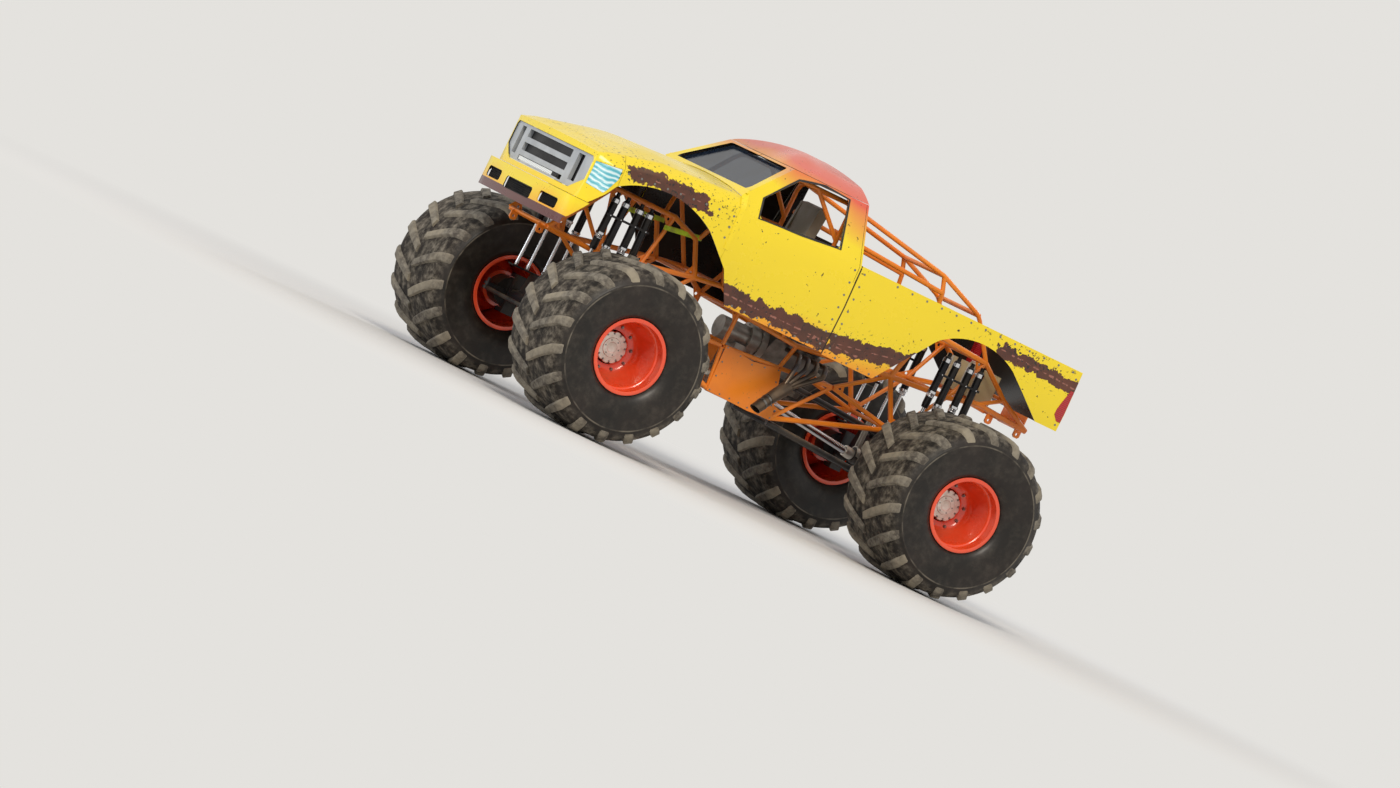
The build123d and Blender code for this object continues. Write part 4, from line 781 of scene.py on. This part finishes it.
# Headers: bent mild steel tube, 48 mm across, browned and blued by heat. Four pipes a side meet in a
# collector, whose open tip is cut at a slant and held by band clamps.
def swept(bm, points, radius, bend, segments=16):
    """A round tube through the points, with arcs of the bend's radius at the corners."""
    points = [Vector(p) for p in points]
    track = [points[0]]
    for before, here, after in zip(points, points[1:], points[2:]):
        back, ahead = (before - here).normalized(), (after - here).normalized()
        half = back.angle(ahead) / 2
        trim = min(bend / math.tan(half), (before - here).length * 0.48, (after - here).length * 0.48)
        centre = here + (back + ahead).normalized() * (trim / math.cos(half))
        first, last = here + back * trim - centre, here + ahead * trim - centre
        for step in range(9):
            part = step / 8
            swing = first.angle(last)
            way = (first * math.sin((1 - part) * swing) + last * math.sin(part * swing)) / math.sin(swing)
            track.append(centre + way)
    track.append(points[-1])
    side = (track[1] - track[0]).orthogonal().normalized()
    rings = []
    for i, spot in enumerate(track):
        ahead = (track[min(i + 1, len(track) - 1)] - track[max(i - 1, 0)]).normalized()
        side = (side - ahead * side.dot(ahead)).normalized()
        up = ahead.cross(side)
        turns = [2 * math.pi * k / segments for k in range(segments)]
        rings.append([spot + (side * math.cos(t) + up * math.sin(t)) * radius for t in turns])
    skin(bm, rings)


heat, tree, shader = new_finish("heat_stained_steel_tube", Metallic=0.7)
stain = add_node(tree, "Mix", {"Factor": patches(tree, 0.1), "A": "#51483F", "B": "#76624F"})
blued = patches(tree, 0.16, 0.55, 0.7)
stain = add_node(tree, "Mix", {"Factor": blued, "A": stain, "B": "#4C505C"})
dusted(tree, shader, stain, "#7A6A52", 0.1, 0.4, 0.34, 0.7)
grained(tree, shader, 0.004, 0.0004)
pipe_radius = 0.024
port_pitch = 0.1
ports_x = -0.40
bm = bmesh.new()
clamp_bm = bmesh.new()
for side in (1, -1):
    for port in range(4):
        x = ports_x + (port - 1.5) * port_pitch
        fan = 0.026 * (port - 1.5)
        swept(bm, [(x, side * 0.235, 1.47), (x, side * 0.52, 1.47), (x + 0.03, side * 0.60, 1.38),
                   (-0.20 + fan, side * (0.64 + 0.3 * fan), 1.17),
                   (-0.145 + fan, side * (0.665 + 0.3 * fan), 1.11)], pipe_radius, 0.07)
    neck = facing((-0.20, side * 0.64, 1.155), (0.17, side * 0.08, -0.175))
    lathe(bm, [(-0.02, 0), (-0.02, 0.062), (0.05, 0.065), (0.235, 0.0555), (0.235, 0)], 32, neck)
    start, tip = Vector((-0.04, side * 0.715, 0.99)), Vector((0.085, side * 0.79, 0.855))
    span = (tip - start).length
    rings = lathe(bm, [(0.0, 0.0), (0.0, 0.054), (span - 0.02, 0.055), (span - 0.02, 0.0515), (0.07, 0.0515),
                       (0.07, 0.0)], 40, facing(start, tip - start))
    way = (tip - start).normalized()
    for ring in rings[2:4]:
        for corner in ring:
            corner.co += way * (corner.co - tip).dot(Vector((0, 0, 1))) * 0.5
    for reach in (0.018, 0.085):
        band = facing(start + way * reach, way)
        lathe(clamp_bm, [(-0.010, 0.0545), (-0.010, 0.058), (0.010, 0.058), (0.010, 0.0545)], 32, band)
        ear = band @ Matrix.Translation((0.0, 0.062, 0.0))
        hex_screw(clamp_bm, ear @ Matrix.Rotation(math.pi / 2, 4, "Y"), 0.013, 0.022)
add_shape("header_pipes", bm, heat, stands_for=("headers",))
add_shape("header_clamps", clamp_bm, screw_steel)

# Fuel cell: a folded aluminium box in beige powder coat that dust has dulled, with a screwed filler cap,
# held down by two bright straps, 30 mm wide and 3 mm thick.
def bar(bm, low, high):
    """A square-edged bar from one corner to the opposite one."""
    skin(bm, [[(x, low[1], low[2]), (x, high[1], low[2]), (x, high[1], high[2]), (x, low[1], high[2])]
              for x in (low[0], high[0])])


tank_paint = coated("beige_coated_aluminium", (0.2,), ("#CDBE95", "#BDAA7C"), ("#8F7B56", 0.15, 0.5),
                    (0.4, 0.7), (0.003, 0.0004), IOR=1.5)
paint(tank_paint, "fuel_cell")
low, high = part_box("fuel_cell")
bm = bmesh.new()
strap_half = 0.015
strap_thickness = 0.003
for y in (-0.17, 0.17):
    right, left, top = y - strap_half, y + strap_half, high[2] + strap_thickness
    for x in (low[0] - strap_thickness, high[0]):
        bar(bm, (x, right, low[2]), (x + strap_thickness, left, top))
    bar(bm, (low[0] - strap_thickness, right, high[2]), (high[0] + strap_thickness, left, top))
lathe(bm, [(0, 0.055), (0.012, 0.055), (0.014, 0.045), (0.03, 0.045), (0.034, 0.04), (0.034, 0)], 32,
      Matrix.Translation(((low[0] + high[0]) / 2, 0.0, high[2])))
add_shape("fuel_cell_straps", bm, machined)

# Axles, knuckles, links and rods: fabricated steel brushed with black enamel, dusty all over, with plated
# screws round each gear case.
enamel = coated("black_enamelled_steel", (0.1,), ("#151517", "#242426"), ("#8A7556", 0.12, 0.6),
                (0.34, 0.75), (0.006, 0.0006), IOR=1.5)
paint(enamel, "suspension_links", "steering_barrels")
for axle in ("front", "rear"):
    paint(enamel, f"axle_{axle}", f"tie_rod_{axle}", f"knuckle_{axle}_left", f"knuckle_{axle}_right")
axle_xs = (2.0, -1.8)
axle_z = 0.825
case_y = 0.09
case_radius = 0.155
bm = bmesh.new()
for axle_x in axle_xs:
    for side in (1, -1):
        for step in range(12):
            turn = 2 * math.pi * step / 12
            x, z = axle_x + case_radius * math.cos(turn), axle_z + case_radius * math.sin(turn)
            hex_screw(bm, facing((x, side * case_y, z), (0, side, 0)), 0.018, 0.012)
add_shape("gear_case_screws", bm, screw_steel)

# Shock absorbers: four at each wheel. A satin black anodised cylinder slides over a bright chromed rod, with
# a threaded collar low on it and rod ends top and bottom, and a black clamp ties the four together.
anodised = coated("black_anodised_aluminium", (0.08,), ("#121214", "#1D1D20"), ("#7D6A4E", 0.07, 0.35),
                  (0.26, 0.65), Metallic=0.6)
chrome, tree, shader = new_finish("hard_chromed_steel", Metallic=1.0)
dusted(tree, shader, "#D2D2D4", "#8A7B62", 0.2, 0.12, 0.14, 0.3)
shock_low_z = 1.093
shock_top_z = 2.1
shock_low_y = 0.62
shock_top_y = 0.60
clamp_height = 0.79
clamp_thickness = 0.008
clamp_reach = 0.235
clamp_half = 0.011
# How far each absorber stands ahead of its axle, and how high its collar is
collar_heights = {-0.21: 0.455, -0.085: 0.52, 0.085: 0.47, 0.21: 0.56}
black_bm = bmesh.new()
bright_bm = bmesh.new()
for axle_x in axle_xs:
    for side in (1, -1):
        for offset, collar in collar_heights.items():
            foot = Vector((axle_x + offset, side * shock_low_y, shock_low_z))
            head = Vector((axle_x + offset * 0.9, side * shock_top_y, shock_top_z))
            span = (head - foot).length
            post = facing(foot, head - foot)
            lathe(bright_bm, [(0.0, 0.0), (0.0, 0.018), (0.03, 0.020), (0.045, 0.016), (0.45, 0.016),
                              (0.45, 0)], 20, post)
            lathe(black_bm, [(0.445, 0.017), (0.445, 0.030), (0.46, 0.033), (0.48, 0.036),
                             (span - 0.10, 0.036), (span - 0.095, 0.032), (span - 0.05, 0.032),
                             (span - 0.035, 0.02), (span, 0.018), (span, 0)], 28, post)
            threads = []
            for turn in range(6):
                threads += [(collar + turn * 0.006, 0.0385), (collar + turn * 0.006 + 0.003, 0.0365)]
            lathe(bright_bm, [(collar - 0.004, 0.0355), (collar - 0.004, 0.0405), (collar, 0.0405)] + threads
                  + [(collar + 0.036, 0.0435), (collar + 0.056, 0.0435), (collar + 0.058, 0.0355)], 28, post)
            lathe(bright_bm, [(span - 0.097, 0.031), (span - 0.097, 0.0385), (span - 0.06, 0.0385),
                              (span - 0.058, 0.031)], 28, post)
            fitting = post @ Matrix.Translation((0, 0, span - 0.078)) @ Matrix.Rotation(math.pi / 2, 4, "X")
            hex_screw(bright_bm, fitting @ Matrix.Translation((0, 0, 0.037)), 0.016, 0.016)
        z = shock_low_z + clamp_height
        y = side * (shock_low_y - 0.02 * clamp_height + 0.036)
        y_out = y + side * clamp_thickness
        low, high = z - clamp_half, z + clamp_half
        bar(black_bm, (axle_x - clamp_reach, y, low), (axle_x + clamp_reach, y_out, high))
        for offset in collar_heights:
            hex_screw(bright_bm, facing((axle_x + offset * 0.94, y_out, z), (0, side, 0)), 0.010, 0.007)
add_shape("shock_cylinders", black_bm, anodised, stands_for=("shocks",))
add_shape("shock_bright_parts", bright_bm, chrome)

# Driveshafts and cylinder rods: ground steel, chromed bright. Machined hoops round each shaft stand on the
# frame's cross tubes or hang from them, to catch a shaft that breaks.
paint(chrome, "driveshafts", "ram_rod_front", "ram_rod_rear")
bm = bmesh.new()
hoop_radius = 0.068
hoop_half = 0.016
# Columns: x of the hoop, height of the shaft there, height of the cross tube's near side
hoops = [(0.43, 0.981, 0.858), (-0.29, 0.973, 0.858), (1.50, 0.864, 1.192), (-1.49, 0.863, 1.192)]
for x, z, tube_z in hoops:
    outside = hoop_radius + 0.007
    lathe(bm, [(-hoop_half, hoop_radius), (-hoop_half, outside), (hoop_half, outside),
               (hoop_half, hoop_radius), (-hoop_half, hoop_radius)], 40, facing((x, 0, z), (1, 0, 0)))
    near = z + math.copysign(hoop_radius + 0.003, tube_z - z)
    for y in (-0.028, 0.028):
        bar(bm, (x - hoop_half, y - 0.003, near), (x + hoop_half, y + 0.003, tube_z))
# A sleeve covers each shaft's sliding joint
for x, z, way in ((0.275, 0.998, 1), (-0.055, 0.998, -1), (1.62, 0.851, 1), (-1.42, 0.851, -1)):
    lathe(bm, [(-0.045, 0.039), (-0.045, 0.052), (-0.02, 0.056), (0.02, 0.056), (0.045, 0.052),
               (0.045, 0.039)], 32, facing((x, 0, z), (way, 0, -0.108)))
add_shape("driveshaft_hoops", bm, machined)

# Rims: spun and welded steel, dished deep, with the planetary hub at the bottom. The red-orange enamel is
# glossy where dust doesn't cover it.
rim_paint = coated("gloss_enamelled_rim_steel", (0.3,), ("#F05228", "#E6441E"), ("#A2744C", 0.25, 0.3),
                   (0.22, 0.6), IOR=1.5, Coat_Weight=0.7, Coat_Roughness=0.06)
mm = 0.001
wheel_y = 1.37
wheel_places = {(axle, side_name): (x, side * wheel_y, axle_z) for axle, x in zip(("front", "rear"), axle_xs)
                for side_name, side in sides}
outboard = Matrix.Rotation(math.radians(-90), 4, "X")
rim_outline = [(458, 319), (460, 330), (460, 346), (457, 353), (451, 354.6), (446, 350), (443, 338),
               (440, 330), (-440, 330), (-443, 338), (-446, 350), (-451, 354.6), (-457, 353), (-460, 346),
               (-458, 319), (-440, 317), (218, 317), (150, 300), (50, 258), (10, 215), (-12, 172),
               (-20, 170), (-250, 170), (-250, 0)]
dish_outline = [(16, 160), (14, 188), (28, 222), (56, 246), (100, 263), (170, 280), (240, 291), (325, 299),
                (338, 301), (347, 308), (352, 317), (380, 318), (430, 318), (458, 319)]
bm = bmesh.new()
for outline in (rim_outline, dish_outline, ((16, 160), (-12, 165))):
    lathe(bm, [(a * mm, r * mm) for a, r in outline], 96, outboard)
bmesh.ops.remove_doubles(bm, verts=bm.verts, dist=0.0002)
rim_mesh = finish_mesh("rim", bm, rim_paint)


# Hub cap: a machined aluminium planetary cover with a scalloped edge, held by hexagon screws, and the
# wheel's own ring of hexagon nuts round it.
def around(count, radius, reach, start=0.0):
    """Places on a circle about the wheel's axis, each with its Z pointing outboard."""
    spots = []
    for number in range(count):
        turn = start + 2 * math.pi * number / count
        spot = Vector((radius * math.cos(turn), radius * math.sin(turn), reach))
        spots.append(outboard @ Matrix.Translation(spot))
    return spots


hub_bm = bmesh.new()
scallops = 12
scallop_depth = 0.014
hub_radius = 0.149
edge = []
for i in range(scallops * 8):
    turn = 2 * math.pi * i / (scallops * 8)
    edge.append((turn, hub_radius - scallop_depth * (1 - abs(math.cos(turn * scallops / 2))) ** 2))
for low, high, shrink_low, shrink_high in ((0.016, 0.05, 0, 0), (0.05, 0.0545, 0, 0.006)):
    rows = [[hub_bm.verts.new(outboard @ Vector(((r - s) * math.cos(t), (r - s) * math.sin(t), z)))
             for t, r in edge] for z, s in ((low, shrink_low), (high, shrink_high))]
    for i in range(len(edge)):
        j = (i + 1) % len(edge)
        hub_bm.faces.new((rows[0][i], rows[0][j], rows[1][j], rows[1][i]))
    if shrink_high:
        hub_bm.faces.new(rows[1])
lathe(hub_bm, [(0.0545, 0.092), (0.06, 0.088), (0.06, 0.05), (0.062, 0.046), (0.062, 0)], 48, outboard)
bmesh.ops.remove_doubles(hub_bm, verts=hub_bm.verts, dist=0.0001)
hub_mesh = finish_mesh("hub_cap", hub_bm, machined, 25)
bm = bmesh.new()
for spot in around(scallops, 0.128, 0.0535, math.pi / scallops):
    hex_screw(bm, spot, 0.016, 0.0082)
for spot in around(6, 0.07, 0.0595):
    lathe(bm, [(0, 0.007), (0.0024, 0.007), (0.0024, 0.004), (0.0012, 0.004), (0.0012, 0)], 12, spot)
for spot in around(10, 0.205, 0.0235, 0.2):
    hex_screw(bm, spot, 0.024, 0.02)
screw_mesh = finish_mesh("hub_screws", bm, screw_steel)
for (axle, side), spot in wheel_places.items():
    turn = 0 if side == "left" else math.pi
    wheel = f"wheel_{axle}_{side}"
    add_piece(f"rim_{axle}_{side}_steel", rim_mesh, wheel, spot, turn, (f"rim_{axle}_{side}",))
    add_piece(f"hub_cap_{axle}_{side}", hub_mesh, wheel, spot, turn, ())
    add_piece(f"hub_screws_{axle}_{side}", screw_mesh, wheel, spot, turn, ())

# Tyres: worn agricultural tyres with angled lugs and a ridge at the shoulder. Dry mud greys the tread and
# the side wall stays darker and smoother.
tyre_rubber, tree, shader = new_finish("dusty_black_rubber", IOR=1.52, Specular_IOR_Level=0.35)
place = add_node(tree, "TexCoord")
axes = add_node(tree, "SeparateXYZ", {0: (place, "Object")})
flat_place = add_node(tree, "CombineXYZ", {"X": (axes, "X"), "Z": (axes, "Z")})
radius = add_node(tree, "VectorMath", {0: flat_place}, operation="LENGTH")
tread_zone = add_node(tree, "MapRange", {"Value": (radius, "Value"), "From Min": 0.69, "From Max": 0.76})
mud = patches(tree, 0.06, 0.42, 0.66, 8.0, 0.65)
reach = add_node(tree, "MapRange", {"Value": tread_zone, "To Min": 0.07, "To Max": 0.6})
mud = add_node(tree, "Math", {0: mud, 1: reach}, operation="MULTIPLY")
rubber = add_node(tree, "Mix", {"Factor": patches(tree, 0.2), "A": "#16130F", "B": "#261F1A"})
clay = add_node(tree, "Mix", {"Factor": patches(tree, 0.03, detail=6.0), "A": "#5F574A", "B": "#9A9080"})
rubber = add_node(tree, "Mix", {"Factor": mud, "A": rubber, "B": clay})
# The ridge round the shoulder, 666 mm from the axle, is scuffed pale over 12 mm
scuff = stripe(tree, (radius, "Value"), 0.666, 0.008, 0.004)
broken = patches(tree, 0.08, 0.4, 0.6, to_low=0.05, to_high=0.5)
scuff = add_node(tree, "Math", {0: scuff, 1: broken}, operation="MULTIPLY")
add_node(tree, "Mix", {"Factor": scuff, "A": rubber, "B": "#8D8474"}, (shader, "Base Color"))
add_node(tree, "MapRange", {"Value": tread_zone, "To Min": 0.36, "To Max": 0.9}, (shader, "Roughness"))
grain = patches(tree, 0.012, 0.0, 1.0, 8.0, 0.7)
grain_zone = add_node(tree, "MapRange", {"Value": tread_zone, "To Min": 0.12})
grain = add_node(tree, "Math", {0: grain, 1: grain_zone}, operation="MULTIPLY")
add_node(tree, "Bump", {"Height": grain, "Distance": 0.006, "Strength": 0.8}, (shader, "Normal"))

# The lugs are painted a paler grey than the carcass between them, painted light on their tops, smeared along
# their length
lit_lug_rubber, tree, shader = new_finish("lit_and_smeared_lug_rubber", IOR=1.52, Specular_IOR_Level=0.3, Roughness=0.88)
smear = add_node(tree, "Mix", {"Factor": patches(tree, 0.035, 0.38, 0.62, 6.0, 0.65), "A": "#837C6F",
                               "B": "#4F4942"})
add_node(tree, "Mix", {"Factor": patches(tree, 0.2, 0.45, 0.7), "A": smear, "B": "#998F7C"},
         (shader, "Base Color"))
grained(tree, shader, 0.02, 0.006, 0.7)

lugs_per_side = 18
lug_sweep = -0.2
lug_reach = 0.514
lug_radius = 0.8
# Columns: distance from the tyre's middle, radius of the lug's top, radius of the carcass under it
lug_outline = [(0.012, 0.825, 0.797), (0.12, 0.825, 0.796), (0.25, 0.8245, 0.794), (0.36, 0.82, 0.789),
               (0.43, 0.806, 0.777), (0.475, 0.776, 0.748), (0.503, 0.735, 0.715), (0.514, 0.7, 0.694)]
carcass = [(0.438, 0.331), (0.447, 0.36), (0.466, 0.372), (0.486, 0.4), (0.508, 0.452), (0.521, 0.52),
           (0.526, 0.585), (0.523, 0.64), (0.5265, 0.66), (0.5265, 0.672), (0.519, 0.684), (0.512, 0.7),
           (0.497, 0.728), (0.475, 0.75), (0.44, 0.772), (0.38, 0.786), (0.25, 0.794), (0.12, 0.797),
           (0.0, 0.798)]
bm = bmesh.new()
whole = carcass + [(-y, r) for y, r in carcass[-2::-1]] + [(-0.41, 0.331), (0.41, 0.331), carcass[0]]
lathe(bm, whole, 120, outboard)
rng = random.Random(7)
for side in (1, -1):
    for number in range(lugs_per_side):
        start = 2 * math.pi * (number + (0.5 if side < 0 else 0)) / lugs_per_side
        rows = []
        for y, top, base in lug_outline:
            part = y / lug_reach
            sweep = lug_sweep * (1.12 * part - 0.12 * part ** 2)
            half = 0.034 + 0.010 * part + rng.uniform(-0.002, 0.002)
            worn = rng.uniform(0.0, 0.003)
            row = []
            for across, height in ((-half - 0.012, base - 0.006), (-half, top - 0.005 - worn),
                                   (-half + 0.006, top - worn), (half - 0.006, top - worn),
                                   (half, top - 0.005 - worn), (half + 0.012, base - 0.006)):
                turn = start + (sweep + across) / lug_radius
                row.append(bm.verts.new((height * math.sin(turn), side * y, height * math.cos(turn))))
            rows.append(row)
        for low, high in zip(rows, rows[1:]):
            for i in range(5):
                bm.faces.new((low[i], low[i + 1], high[i + 1], high[i])).material_index = 1
        bm.faces.new(rows[0]).material_index = 1
        bm.faces.new(rows[-1]).material_index = 1
tyre_mesh = finish_mesh("tyre", bm, tyre_rubber, 40)
tyre_mesh.materials.append(lit_lug_rubber)
for (axle, side), spot in wheel_places.items():
    add_piece(f"tyre_{axle}_{side}_rubber", tyre_mesh, f"wheel_{axle}_{side}", spot, 0.0,
              (f"tyre_{axle}_{side}",))
